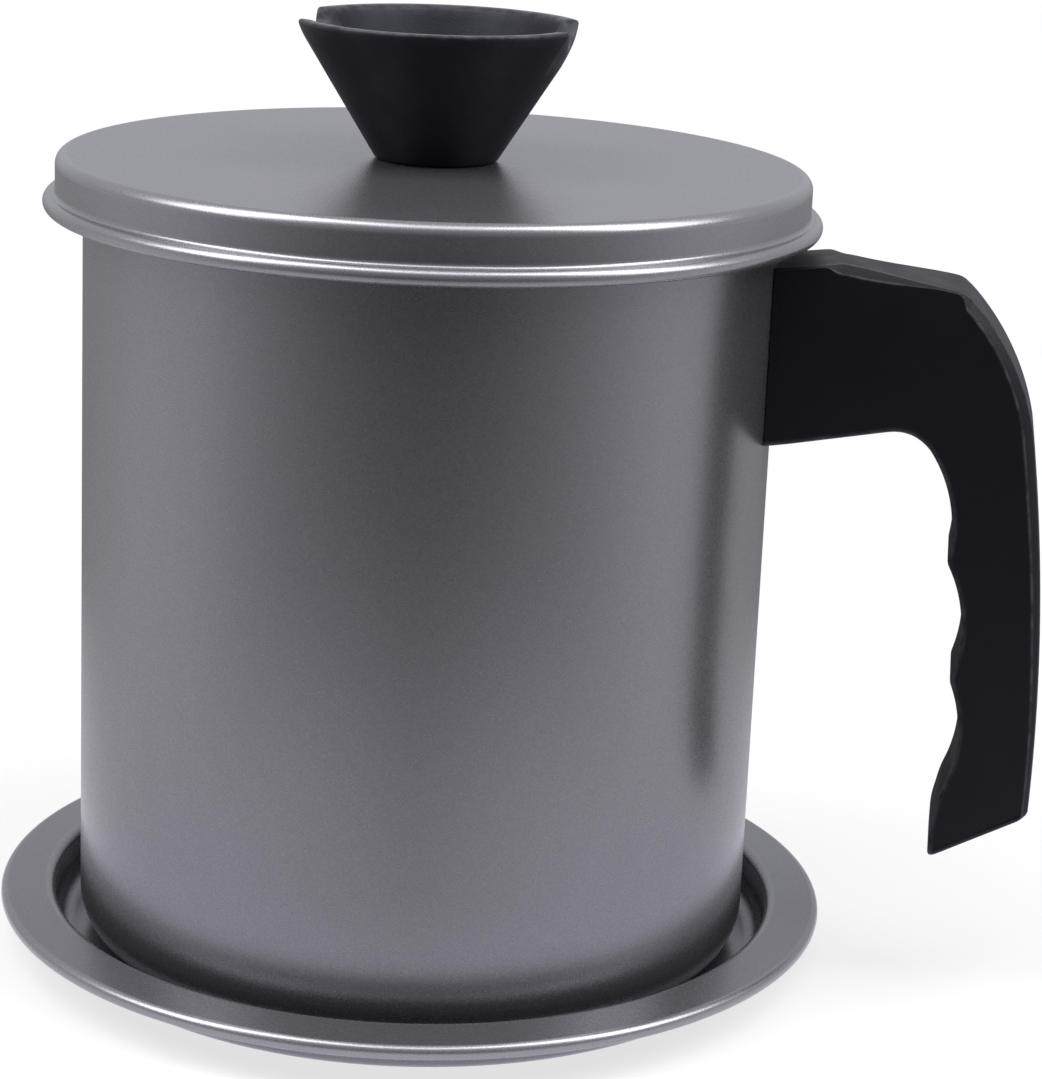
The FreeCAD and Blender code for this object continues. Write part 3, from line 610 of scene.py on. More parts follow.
ROOT_TOP = reach_drop(0.15, 12.4)
THUMB = reach_drop(9.5, 11.1)
SHOULDER = reach_drop(31.6, 14.5)
KNUCKLE = reach_drop(44.7, 37.4)
TIP = reach_drop(49.35, 106.2)
ROOT_BOTTOM = reach_drop(0.15, 43.3)
CROTCH = reach_drop(24.6, 38.4)
RIDGE_UPPER = reach_drop(31.9, 61.2)
RIDGE_LOWER = reach_drop(33.9, 82.2)
CHIN = reach_drop(33.9, 102.9)
FLARE = reach_drop(32.6, 108.9)
HEEL = reach_drop(32.6, 115.2)


def arc_to(start, end, radius, steps):
    """An arc of the given radius from start to end, bulging to the left of the way.

    Its centre is sqrt(radius^2 - half^2) to the right of the chord's middle.
    """
    chord = end - start
    half = np.linalg.norm(chord) / 2
    left = np.array([-chord[1], chord[0]]) / (2 * half)
    centre = (start + end) / 2 - left * np.sqrt(radius ** 2 - half ** 2)
    first, last = (np.arctan2(*(p - centre)[::-1]) for p in (start, end))
    turn = (last - first + np.pi) % (2 * np.pi) - np.pi
    angle = first + turn * np.linspace(0, 1, steps + 1)
    return centre + radius * np.stack([np.cos(angle), np.sin(angle)], axis=1)


def softened(line, mark, radius, steps=8):
    """Replace what lies within radius of a mark by a curve that skips the corner.

    From a to b past the mark m it is (1-t)^2 a + 2t(1-t) m + t^2 b, for t from 0 to 1.
    """
    away = np.linalg.norm(line - mark, axis=1)
    inside = np.where(away < radius)[0]
    before, after = line[:inside[0]], line[inside[-1] + 1:]
    t = np.linspace(0, 1, steps + 1)[1:-1, None]
    curve = (1 - t) ** 2 * before[-1] + 2 * t * (1 - t) * mark + t ** 2 * after[0]
    return np.concatenate([before, curve, after])


def dense(start, end, spacing=0.4 * MM):
    """A straight line of points no further apart than spacing."""
    steps = int(np.ceil(np.linalg.norm(end - start) / spacing))
    return start + np.linspace(0, 1, steps + 1)[:, None] * (end - start)


ELBOW_ARC = 45.0 * MM
SPINE_ARC = 360.0 * MM
OUTER_GROOVES_ARC = 24.5 * MM
MIDDLE_GROOVE_ARC = 25.0 * MM

outer_line = profile(
    dense(ROOT_TOP, THUMB), dense(THUMB, SHOULDER),
    arc_to(SHOULDER, KNUCKLE, ELBOW_ARC, 70), arc_to(KNUCKLE, TIP, SPINE_ARC, 180),
)
for mark, radius in ((THUMB, 3.0), (SHOULDER, 1.6)):
    outer_line = softened(outer_line, mark, radius * MM)
inner_line = profile(
    dense(ROOT_BOTTOM, CROTCH), arc_to(CROTCH, RIDGE_UPPER, OUTER_GROOVES_ARC, 60),
    arc_to(RIDGE_UPPER, RIDGE_LOWER, MIDDLE_GROOVE_ARC, 55),
    arc_to(RIDGE_LOWER, CHIN, OUTER_GROOVES_ARC, 55), dense(CHIN, FLARE), dense(FLARE, HEEL),
)
for mark, radius in ((CROTCH, 4.2), (RIDGE_UPPER, 1.0), (RIDGE_LOWER, 1.0), (CHIN, 1.4), (FLARE, 1.4)):
    inner_line = softened(inner_line, mark, radius * MM)
print("side lines:", len(outer_line), "and", len(inner_line), "points")

# %% [markdown]
# The stations pair the two lines.  Both are measured by their own length, and
# pairs of marks (above the crotch, the shoulder, the knuckle) say which lengths
# belong together, so that no section crosses another round the elbow.
#
# %% Pair the lines into stations
def length_along(line):
    """Distance travelled along a line up to each of its points."""
    return np.concatenate([[0], np.cumsum(np.linalg.norm(np.diff(line, axis=0), axis=1))])


def place_of(line, mark):
    """Length along a line at its point nearest to a mark."""
    return length_along(line)[np.argmin(np.linalg.norm(line - mark, axis=1))]


def walk(line, distance):
    """Points of a line at the given distances along it."""
    along = length_along(line)
    return np.stack([np.interp(distance, along, line[:, k]) for k in (0, 1)], axis=1)


ARM_TURN = 17.5  # reach in mm where the sections start to fan round the elbow
PAIRS = (  # a mark on the outer line, its partner on the inner one, stations to the next pair
    (outer_line[0], inner_line[0], 26),
    (reach_drop(ARM_TURN, 12.4), reach_drop(ARM_TURN, 39.8), 22),
    (SHOULDER, CROTCH, 20),
    (KNUCKLE, reach_drop(28.2, 43.9), 34),
    (reach_drop(48.0, 61.2), RIDGE_UPPER, 120),
    (TIP, HEEL, 1),
)
station = np.concatenate([k + np.arange(pair[2]) / pair[2] for k, pair in enumerate(PAIRS)])
outer_at = [place_of(outer_line, pair[0]) for pair in PAIRS]
inner_at = [place_of(inner_line, pair[1]) for pair in PAIRS]
outer_points = walk(outer_line, np.interp(station, np.arange(len(PAIRS)), outer_at))
inner_points = walk(inner_line, np.interp(station, np.arange(len(PAIRS)), inner_at))
print("stations:", len(station))

# %% [markdown]
# The section is a rectangle with its two outer corners cut by the bevel.  Every
# corner is then rounded by a short quadratic curve.  The bevel opens above the
# thumb rest, narrows towards the shoulder, comes back at full width where the
# spine turns down, and narrows again towards the lower end.
#
# %% Carry the section along the handle
HALF_WIDTH = grip_high[1]
ARM_BEVEL = 2.1 * MM
SPINE_BEVEL = 1.75 * MM
LEAST_BEVEL = 0.25 * MM
SOFT_INNER = 1.1 * MM  # rounding of the two inner corners
SOFT_OUTER = 0.42 * MM  # rounding of the bevel's four corners
CORNER_STEPS = 5
GRIP_DULL = -2.0  # the edge attribute on the inside of the grip: duller than any flat


def ramp(value, low, high):
    """0 below low, 1 above high, and a smooth S between them: 3 s^2 - 2 s^3."""
    share = np.clip((value - low) / (high - low), 0, 1)
    return share * share * (3 - 2 * share)


def bevel_widths(outer):
    """The bevel's depth down the side and its width across the top, at each station.

    Along the arm it opens over a reach of 7.5 to 11 mm, and all but closes over 14
    to 30 mm.  Past the shoulder, at 32.6 mm, it has the spine's size, and shrinks
    to six tenths of that over a drop of 35 to 100 mm.
    """
    reach = (outer[:, 0] - POT_R) / MM
    drop = (RIM_Z - outer[:, 1]) / MM
    past_shoulder = ramp(reach, 31.0, 32.6)
    arm = ARM_BEVEL * ramp(reach, 7.5, 11.0) * (1 - 0.85 * ramp(reach, 14.0, 30.0)) * (1 - past_shoulder)
    spine = SPINE_BEVEL * past_shoulder * (1 - 0.4 * ramp(drop, 35.0, 100.0))
    return [np.maximum(spine + flat * arm, LEAST_BEVEL)[:, None] for flat in (0.55, 1.7)]


def section_corners(outer, inner, inset=0.0):
    """Six corners of every section, as (station, corner, xyz), with how far each is rounded."""
    across = outer - inner
    across = across / np.linalg.norm(across, axis=1)[:, None]
    depth, width = bevel_widths(outer)
    wide = HALF_WIDTH - inset
    start, end = inner + across * inset, outer - across * inset
    flat = end - across * depth
    places = (start, flat, end, end, flat, start)
    sides = (-wide, -wide, width - wide, wide - width, wide, wide)
    corners = np.stack([
        np.stack(np.broadcast_arrays(place[:, 0], np.ravel(y), place[:, 1]), axis=1)
        for place, y in zip(places, sides)
    ], axis=1)
    is_inner = np.array([True, False, False, False, False, True])
    return corners, np.where(is_inner, SOFT_INNER, np.minimum(SOFT_OUTER, 0.45 * depth))


def rounded_loops(corners, rounding):
    """Round every corner: b = (1-t)^2 before + 2t(1-t) corner + t^2 after."""
    before, after = np.roll(corners, 1, axis=1), np.roll(corners, -1, axis=1)

    def toward(other):
        """The corner, moved towards a neighbour by its own rounding."""
        gap = other - corners
        return corners + gap / np.linalg.norm(gap, axis=-1, keepdims=True) * rounding[..., None]

    t = np.linspace(0, 1, CORNER_STEPS)[:, None]
    first, last = toward(before)[:, :, None], toward(after)[:, :, None]
    curve = (1 - t) ** 2 * first + 2 * t * (1 - t) * corners[:, :, None] + t ** 2 * last
    return curve.reshape(len(corners), -1, 3)


END_ROUND = 1.3 * MM


def lower_end(outer, inner):
    """Rings that round the last section over into the slanted lower face.

    For angles from 0 to 90 degrees, the section steps back along both side lines
    by END_ROUND * (1 - sin a), and shrinks all round by END_ROUND * (1 - cos a).
    """
    ways = [(line[-1] - line[-2]) / np.linalg.norm(line[-1] - line[-2]) for line in (outer, inner)]
    rings = []
    for angle in np.radians(np.linspace(0, 90, 6)):
        back = END_ROUND * (1 - np.sin(angle))
        ends = outer[-1:] - back * ways[0], inner[-1:] - back * ways[1]
        inset = END_ROUND * (1 - np.cos(angle))
        rings.append(rounded_loops(*section_corners(*ends, inset=inset))[0])
    centre = rings[-1].mean(axis=0)
    rings += [centre + share * (rings[-1] - centre) for share in (0.8, 0.5, 0.2)]
    return np.array(rings), centre


deepest = bevel_widths(outer_points)[0].max()
print(f"section {2 * HALF_WIDTH / MM:.2f} mm wide, deepest bevel {deepest / MM:.2f} mm")

# %% [markdown]
# Two hollows belong to the handle, and both would be simple with a boolean, at
# the price of ragged faces.  The socket for the bracket is the chain of
# sections carried on: from the root's outline into a rectangle, inwards, and
# into a smaller rectangle for the tongue.  The screw's well is sewn into the
# arm's underside: a strip of faces is left out, and its border is joined to a
# circle, so that the faces round the well stay flat.
#
# %% The socket and the screw's well
WALL_GAP = 0.15 * MM  # between the handle's root and the pot's wall
SADDLE_WIDTH, SADDLE_HEIGHT, SADDLE_REACH = 11.4 * MM, 24.4 * MM, 1.7 * MM
TONGUE_WIDTH, TONGUE_HEIGHT, TONGUE_REACH = 11.4 * MM, 3.4 * MM, 24.2 * MM
TONGUE_DROP = 27.4 * MM
SOCKET_ROUND = 0.25 * MM
SOCKET_HUG = 0.3 * MM  # distance of the extra rows from the socket's two corners
WELL_R = 4.8 * MM
MOUTH_HUG, FLOOR_HUG = 0.25 * MM, 0.2 * MM  # the same at the well's mouth and above its floor
WELL_FLOOR_RADII = (4.6 * MM, 3.4 * MM, 2.3 * MM, 1.2 * MM)
WELL_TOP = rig.box("handle_washer")[1][2]
WELL_X = 0.5 * (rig.box("handle_washer")[0][0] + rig.box("handle_washer")[1][0])


def box_loop(reach, width, height):
    """A rectangle across the arm as a six-cornered section, hollowed to the pot's round."""
    half, low = width / 2, RIM_Z - TONGUE_DROP - height / 2
    places = [(-half, 0), (-half, 1), (-half / 3, 1), (half / 3, 1), (half, 1), (half, 0)]
    corners = np.array([[[0, y, low + height * up] for y, up in places]])
    loop = rounded_loops(corners, np.full((1, 6), SOCKET_ROUND))[0]
    loop[:, 0] = np.sqrt((POT_R + reach) ** 2 - loop[:, 1] ** 2)
    return loop


def socket_loops():
    """Loops from the tongue's far end back to the root's face."""
    deep, step = TONGUE_REACH, SADDLE_REACH
    tongue = [box_loop(reach, TONGUE_WIDTH, TONGUE_HEIGHT)
              for reach in (deep, deep - SOCKET_HUG, step + SOCKET_HUG, step)]
    saddle = [box_loop(reach, SADDLE_WIDTH, SADDLE_HEIGHT) for reach in (step, WALL_GAP)]
    return np.array(tongue + saddle)


def well_rings(border):
    """Rings of the well: one on the underside, down the wall, and over its floor."""
    angle = np.arctan2(border[:, 1], border[:, 0] - WELL_X)
    at_crotch = int(np.argmin(np.linalg.norm(inner_line - CROTCH, axis=1)))
    underside = inner_line[:at_crotch + 12]

    def ring(radius, height=None):
        """A circle of the well at one height, or laid on the arm's underside."""
        x = WELL_X + radius * np.cos(angle)
        z = np.interp(x, *underside.T) if height is None else np.full(len(x), height)
        return np.stack([x, radius * np.sin(angle), z], axis=1)

    wall = [ring(WELL_R + MOUTH_HUG), ring(WELL_R), ring(WELL_R, WELL_TOP - FLOOR_HUG)]
    wall[1][:, 2] += MOUTH_HUG
    return np.array(wall + [ring(radius, WELL_TOP) for radius in WELL_FLOOR_RADII])


print(f"well at x = {WELL_X / MM:.2f} mm, its floor at z = {WELL_TOP / MM:.2f} mm")

# %% [markdown]
# All the loops, from the tongue's far end to the lower face, form one grid.  Its
# first and last rows each close in a point, and the well closes in a third, so
# the handle is one closed skin.
#
# %% Make the handle
HOLLOW_FADE = 4.0 * MM  # the root's hollow fades out over this reach
WELL_MARGIN = 1.2 * MM  # faces are left out this far round the well
ARM_LOW = CROTCH[1] - 6 * MM  # points above this height belong to the arm


def hollow_root(loops):
    """Pull the root's loops to the pot's round wall, less and less over HOLLOW_FADE."""
    wall = np.sqrt((POT_R + WALL_GAP) ** 2 - loops[0, :, 1] ** 2)
    pull = np.clip(1 - (loops[:, :, 0] - POT_R) / HOLLOW_FADE, 0, 1)
    loops[:, :, 0] += np.where(loops[:, :, 2] > ARM_LOW, pull * (wall - loops[0, :, 0]), 0)


def edge_values(rows, socket_rows):
    """The edge attribute: 1 - |share| across each rounded corner, and GRIP_DULL inside the grip.

    The socket's rows and the lower face's last rows stay at 0.
    """
    in_corner = np.tile(1 - np.abs(np.linspace(-1, 1, CORNER_STEPS)), 6)
    in_corner[[0, -1]] = GRIP_DULL
    edge = np.tile(in_corner, (rows, 1))
    edge[:socket_rows] = 0
    edge[-3:] = 0
    return edge.ravel()


def make_handle():
    """Loops along the handle, hollow for the bracket, with the well sewn in below."""
    loops = rounded_loops(*section_corners(outer_points, inner_points))
    rings, hub = lower_end(outer_points, inner_points)
    loops = np.concatenate([loops[:-3], rings])
    hollow_root(loops)
    sockets = socket_loops()
    loops = np.concatenate([sockets, loops])
    rows, columns = loops.shape[:2]

    quads = grid_quads(rows, columns, columns_meet=True).reshape(rows - 1, columns, 4)
    underside = loops[:, -1, :]
    spanned = np.abs(underside[:, 0] - WELL_X) < WELL_R + WELL_MARGIN
    spanned &= (underside[:, 2] < WELL_TOP) & (underside[:, 2] > ARM_LOW)
    spanned[:len(sockets)] = False
    first, last = np.where(spanned)[0][[0, -1]]
    keep = np.ones((rows - 1, columns), bool)
    keep[first:last, -1] = False

    side = np.arange(first, last + 1)
    border = np.concatenate([side * columns, side[::-1] * columns + columns - 1])
    flat = loops.reshape(-1, 3)
    well = well_rings(flat[border])
    inner = len(flat) + np.arange(well[..., 0].size).reshape(len(well), -1)
    chain = np.concatenate([border[None], inner])
    beside = np.roll(chain, -1, axis=1)
    sewn = np.stack([chain[:-1], beside[:-1], beside[1:], chain[1:]], axis=-1).reshape(-1, 4)

    poles = [[WELL_X, 0, WELL_TOP], [POT_R + TONGUE_REACH, 0, RIM_Z - TONGUE_DROP], hub]
    points = np.concatenate([flat, well.reshape(-1, 3), poles])
    around = np.arange(columns)
    ends = np.concatenate([
        fan(len(points) - 3, inner[-1]), fan(len(points) - 2, around[::-1]),
        fan(len(points) - 1, (rows - 1) * columns + around),
    ])
    quads = np.concatenate([quads[keep], sewn])
    edge = edge_values(rows, len(sockets))
    edge = np.append(edge, np.zeros(len(points) - len(edge)))
    return piece_from("handle_moulding", points, quads, ends, body="pot", sharp=50, edge=edge)


handle = make_handle()
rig.replaces(handle, "handle_grip")
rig.slot(handle, "plastic")

# %% [markdown]
# ## The strainer
#
# The strainer is three pieces: a pressed ring that hangs on the pot's bead, a
# bowl of woven wire, and a flat hoop that clamps the bowl's edge on the ring's
# ledge.  The ring and the hoop are turned like the lid.
#
# %% Make the strainer's ring and hoop
ring_low, ring_high = (np.array(corner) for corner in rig.box("strainer_rim"))
hoop_low, hoop_high = (np.array(corner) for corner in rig.box("strainer_hoop"))
THIN = 0.5 * MM
RING_BEND = 1.2 * MM
RING_FLANGE, RING_LEDGE = 4.0 * MM, 4.4 * MM
RING_OUT = ring_high[0] - RING_FLANGE
LEDGE_IN = RING_OUT - RING_LEDGE
HOOP_WIDTH = 2.6 * MM


def ring_outline():
    """The ring's sheet, closed: flange, bend, wall, bend and ledge, with round edges."""
    top, low = ring_high[2], ring_low[2]
    half = THIN / 2
    upper = (RING_OUT - THIN + RING_BEND, top - RING_BEND)
    lower = (RING_OUT - RING_BEND, low + RING_BEND)
    return profile(
        bend((ring_high[0] - half, top - half), half, -90, 90, 6),
        straight((ring_high[0] - half, top), (upper[0], top), 2),
        bend(upper, RING_BEND, 90, 180, 8),
        straight((RING_OUT - THIN, upper[1]), (RING_OUT - THIN, lower[1]), 4),
        bend(lower, RING_BEND - THIN, 0, -90, 6),
        straight((lower[0], low + THIN), (LEDGE_IN + half, low + THIN), 3),
        bend((LEDGE_IN + half, low + half), half, 90, 270, 6),
        straight((LEDGE_IN + half, low), (lower[0], low), 3),
        bend(lower, RING_BEND, -90, 0, 8),
        straight((RING_OUT, lower[1]), (RING_OUT, upper[1]), 4),
        bend(upper, RING_BEND - THIN, 180, 90, 6),
        straight((upper[0], top - THIN), (ring_high[0] - half, top - THIN), 2),
    )


TUMBLED = 0.18 * MM  # radius of the edges of a stamped ring that was tumbled


def flat_ring_outline(inner, outer, low, high):
    """A flat ring's section, closed: a rectangle with four corners rounded by TUMBLED."""
    r = TUMBLED
    return profile(
        bend((outer - r, low + r), r, -90, 0, 4), bend((outer - r, high - r), r, 0, 90, 4),
        straight((outer - r, high), (inner + r, high), 2),
        bend((inner + r, high - r), r, 90, 180, 4), bend((inner + r, low + r), r, 180, 270, 4),
        straight((inner + r, low), (outer - r, low), 2),
    )


strainer_ring = turned("strainer_ring", ring_outline(), "strainer", closed=True)
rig.replaces(strainer_ring, "strainer_rim")
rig.slot(strainer_ring, "stainless")
hoop_section = flat_ring_outline(hoop_high[0] - HOOP_WIDTH, hoop_high[0], hoop_low[2], hoop_high[2])
clamp_hoop = turned("clamp_hoop", hoop_section, "strainer", closed=True)
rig.replaces(clamp_hoop, "strainer_hoop")
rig.slot(clamp_hoop, "stainless")

# %% [markdown]
# The bowl is a plain weave: every wire goes over one crossing wire and under the
# next.  A picture of a mesh on a bowl would look flat where the light grazes it,
# so the wires are real.  A wire is sampled twice in each cell of the weave, at
# the crossing and halfway to the next, which is just enough for its wave.  All
# wires share one grid of samples, and those outside the circle are left out.
#
# %% Weave the bowl
WEAVE_PITCH = 1.46 * MM
WIRE_R = 0.13 * MM
WIRE_WAVE = 0.12 * MM
BOWL_DEPTH = 21.0 * MM
BOWL_R = 53.7 * MM
WEAVE_R = mesh_high[0] - WIRE_R


def bowl_surface(x, y):
    """Height and upward normal of the bowl: a sphere's cap inside a flat edge.

    Its radius is (r^2 + d^2) / 2d for a mouth of radius r and a depth of d.
    """
    sphere = (BOWL_R ** 2 + BOWL_DEPTH ** 2) / (2 * BOWL_DEPTH)
    low = mesh_low[2] + WIRE_R + WIRE_WAVE
    edge = mesh_high[2] - WIRE_R - WIRE_WAVE
    square = x ** 2 + y ** 2
    inside = square < BOWL_R ** 2
    rise = np.sqrt(np.maximum(sphere ** 2 - square, 0))
    height = np.where(inside, low + sphere - rise, edge)
    normal = np.stack([-x, -y, rise], axis=-1) / sphere
    return height, np.where(inside[..., None], normal, [0.0, 0.0, 1.0])


def wires(first_up):
    """Wires along X: place = bowl + wave * cos(pi * (sample / 2 + wire)) * normal."""
    half_count = int(WEAVE_R / WEAVE_PITCH)
    wire = np.arange(-half_count, half_count + 1)
    sample = np.arange(-2 * half_count, 2 * half_count + 1)
    x, y = np.meshgrid(sample * WEAVE_PITCH / 2, wire * WEAVE_PITCH)
    height, normal = bowl_surface(x, y)
    wave = first_up * WIRE_WAVE * np.cos(np.pi * (sample[None] / 2 + wire[:, None]))
    centre = np.stack([x, y, height], axis=-1) + wave[..., None] * normal
    along = np.gradient(centre, axis=1)
    side = np.cross(normal, along)
    side /= np.linalg.norm(side, axis=-1, keepdims=True)
    up = np.cross(along, side)
    up /= np.linalg.norm(up, axis=-1, keepdims=True)
    corners = centre[..., None, :] + WIRE_R * np.stack([up, side, -up, -side], axis=-2)
    return corners, np.hypot(x, y) < WEAVE_R


def wire_faces(inside):
    """Quads of all wires, four to a length, with a square cap at each end."""
    number = np.where(inside, np.cumsum(inside).reshape(inside.shape) - 1, -1) * 4
    step_row, step = np.where(inside[:, :-1] & inside[:, 1:])
    here, there = number[step_row, step][:, None], number[step_row, step + 1][:, None]
    k, after = np.arange(4)[None], (np.arange(4)[None] + 1) % 4
    tube = np.stack([here + k, here + after, there + after, there + k], axis=-1).reshape(-1, 4)
    padded = np.pad(inside, ((0, 0), (1, 1)))
    starts = number[inside & ~padded[:, :-2]][:, None] + [[0, 3, 2, 1]]
    ends = number[inside & ~padded[:, 2:]][:, None] + [[0, 1, 2, 3]]
    return np.concatenate([tube, starts, ends])


def weave_bowl():
    """Wires along X, and the same wires turned a quarter so that they run along Y."""
    corners, inside = wires(+1)
    warp = corners[inside].reshape(-1, 3)
    corners, _ = wires(-1)
    weft = corners[inside].reshape(-1, 3)[:, [1, 0, 2]]
    faces = wire_faces(inside)
    both = np.concatenate([faces, faces[:, ::-1] + len(warp)])
    return piece_from("woven_bowl", np.concatenate([warp, weft]), both, body="strainer", sharp=120)


woven_bowl = weave_bowl()
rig.replaces(woven_bowl, "strainer_mesh")
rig.slot(woven_bowl, "woven_wire")

# %% [markdown]
# ## Screws, washers and the threaded bush
#
# Both screws point up, so only their heads are seen, from below.  The head's
# cross recess and the thread are one surface: each row of the grid is a turn
# round the screw, and formulas push its points into the cross or the groove.
#
# %% Turn the screws
SHANK_R = 2.0 * MM
HEAD_R = 3.6 * MM
HEAD_HEIGHT = 2.4 * MM
HEAD_ROUND = 1.2 * MM
NECK = 0.7 * MM  # the plain length under the head
THREAD_PITCH = 0.7 * MM
THREAD_DEPTH = 0.38 * MM
TIP_BEVEL = 0.4 * MM
CROSS_DEPTH = 1.5 * MM
CROSS_HALF, CROSS_WALL = 0.6 * MM, 0.18 * MM  # an arm's half width, and the run of its wall
CROSS_REACH, CROSS_SLOPE = 2.1 * MM, 1.3 * MM  # an arm's length, and the run of its sloping end
EXACT = 1e-9


def cross_recess(x, y):
    """Depth of the cross: full in an arm's middle, down to 0 over its wall and its end's slope."""
    narrow, wide = np.minimum(abs(x), abs(y)), np.maximum(abs(x), abs(y))
    in_arm = np.clip((CROSS_HALF - narrow) / CROSS_WALL, 0, 1)
    return CROSS_DEPTH * in_arm * np.clip((CROSS_REACH - wide) / CROSS_SLOPE, 0, 1)


def thread_groove(height, angle):
    """Depth of the groove: a V at the share height / pitch - angle / turn of each pitch."""
    share = (height / THREAD_PITCH - angle / (2 * np.pi)) % 1
    return THREAD_DEPTH * np.clip(1.15 - 2.6 * abs(share - 0.5), 0, 1)


def screw_outline(low, seat, tip):
    """Half the screw's section: head, seat, a row each eighth of a pitch, and the tip."""
    face = np.stack([np.linspace(0, HEAD_R - HEAD_ROUND, 22)[1:], np.full(21, low)], axis=1)
    crown = bend((HEAD_R - HEAD_ROUND, low + HEAD_ROUND), HEAD_ROUND, -90, 0, 8)
    side = straight((HEAD_R, low + HEAD_ROUND), (HEAD_R, seat))
    under_head = straight((HEAD_R, seat), (SHANK_R, seat))
    climb = np.arange(seat, tip - TIP_BEVEL, THREAD_PITCH / 8)
    shank = np.stack([np.full(len(climb), SHANK_R), climb], axis=1)
    end_r = SHANK_R - np.array([0.42, 0.6, 1.4]) * MM
    end = np.stack([end_r, tip - np.array([0.02, 0.0, 0.0]) * MM], axis=1)
    return profile(face, crown, side, under_head, shank, end)


def make_screw(name, node, body, spokes=72):
    """A round head with a cross, a plain neck, a thread and a bevelled tip."""
    low, high = (np.array(corner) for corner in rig.box(node))
    axis, base, tip = (low[0] + high[0]) / 2, low[2], high[2]
    seat = base + HEAD_HEIGHT
    outline = screw_outline(base, seat, tip)
    radius, height = outline[:, :1], outline[:, 1:]
    angle = np.linspace(0, 2 * np.pi, spokes, endpoint=False)
    on_face = height < base + EXACT
    height = height + on_face * cross_recess(radius * np.cos(angle), radius * np.sin(angle))
    on_shank = (np.abs(radius - SHANK_R) < EXACT) & (height > seat + NECK)
    radius = radius - on_shank * thread_groove(height, angle)
    poles = [axis, 0, base + cross_recess(0.0, 0.0)], [axis, 0, tip]
    points, quads, fans = capped(around_axis(radius, height, angle, axis), *poles)
    screw = piece_from(name, points, quads, fans, body=body, sharp=35)
    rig.replaces(screw, node)
    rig.slot(screw, "zinc_steel")
    return screw


screws = [
    make_screw("knob_screw_turned", "knob_screw", "lid"),
    make_screw("handle_screw_turned", "handle_screw", "pot"),
]

# %% [markdown]
# A washer is stamped and then tumbled, which rounds its edges.  The bush is a
# brass nut that sits in the knob's foot from the moulding on.  Its knurls keep it
# from turning in the plastic, and its plain grooves keep it from pulling out.
#
# %% Turn the washers and the bush
WASHER_PLAY = 0.3 * MM
BUSH_PLAY = 0.05 * MM
BUSH_SPOKES = 192
KNURLS = 24
KNURL_DEPTH = 0.22 * MM


def make_washer(name, node, body):
    """A plain washer: a flat ring with tumbled edges."""
    low, high = (np.array(corner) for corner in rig.box(node))
    axis = (low[0] + high[0]) / 2
    section = flat_ring_outline(SHANK_R + WASHER_PLAY, high[0] - axis, low[2], high[2])
    washer = turned(name, section, body, spokes=96, closed=True, axis=axis)
    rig.replaces(washer, node)
    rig.slot(washer, "zinc_steel")
    return washer


def make_bush():
    """The bush: r = outer - depth * (1 - cos(KNURLS a)) / 2, but full depth in three plain bands."""
    low, high = (np.array(corner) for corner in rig.box("knob_insert"))
    angle = np.linspace(0, 2 * np.pi, BUSH_SPOKES, endpoint=False)
    share = np.linspace(0, 1, 41)[:, None]
    knurled = (np.abs(share - 0.5) > 0.07) & (share > 0.04) & (share < 0.96)
    shell = high[0] - KNURL_DEPTH * np.where(knurled, 0.5 - 0.5 * np.cos(KNURLS * angle), 1.0)
    radius = np.concatenate([shell, np.full((2, BUSH_SPOKES), SHANK_R + BUSH_PLAY)])
    height = np.concatenate([low[2] + share * (high[2] - low[2]), [[high[2]], [low[2]]]])
    points = around_axis(radius, height, angle).reshape(-1, 3)
    return piece_from("threaded_bush", points, grid_quads(*radius.shape, True, True), body="lid")


washers = [
    make_washer("knob_washer_stamped", "knob_washer", "lid"),
    make_washer("handle_washer_stamped", "handle_washer", "pot"),
]
bush = make_bush()
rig.replaces(bush, "knob_insert")
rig.slot(bush, "brass")

# %% [markdown]
# ## Finishes
#
# Each finish is a small function that builds a node tree.  All patterns read
# Object coordinates, which are metres here, so a noise of scale 4000 has cells
# a quarter of a millimetre across.  The helpers come first: each one adds a node,
# fills its inputs, and returns the output that the next node needs.
#
# %% Node helpers
def fresh_material(name):
    """A material with only a Principled shader, returned with its node tree."""
    material = bpy.data.materials.new(name)
    material.use_nodes = True
    tree = material.node_tree
    shader = next(node for node in tree.nodes if node.type == "BSDF_PRINCIPLED")
    return material, tree, shader


def feed(tree, node, inputs):
    """Fill a node's inputs by name or number: a socket is linked, a plain value written in."""
    for key, value in inputs.items():
        if isinstance(value, bpy.types.NodeSocket):
            tree.links.new(value, node.inputs[key])
        else:
            node.inputs[key].default_value = value


def added(tree, kind, inputs, output=0, operation=None):
    """Add a node, set its operation if it has one, feed its inputs, and return one output."""
    node = tree.nodes.new(kind)
    if operation is not None:
        node.operation = operation
    feed(tree, node, inputs)
    return node.outputs[output]


def reckoned(tree, operation, *values):
    """One step of arithmetic; each value may be a number or a socket."""
    return added(tree, "ShaderNodeMath", dict(enumerate(values)), 0, operation)


def measured(tree, operation, vector, other=(0, 0, 0)):
    """One number from a vector: its length, or its dot product or distance with another."""
    return added(tree, "ShaderNodeVectorMath", {0: vector, 1: other}, "Value", operation)


def mapped(tree, value, low, high, from_low=0.3, from_high=0.7):
    """Carry a value from one range to another, clamped at both ends."""
    inputs = {"Value": value, "From Min": from_low, "From Max": from_high, "To Min": low, "To Max": high}
    return added(tree, "ShaderNodeMapRange", inputs, "Result")


def mixed_colours(tree, factor, first, second):
    """A colour between two; each may be a tuple or a socket."""
    node = tree.nodes.new("ShaderNodeMix")
    node.data_type = "RGBA"
    first, second = ((*c, 1) if isinstance(c, tuple) else c for c in (first, second))
    feed(tree, node, {"Factor": factor, "A": first, "B": second})
    return node.outputs["Result"]


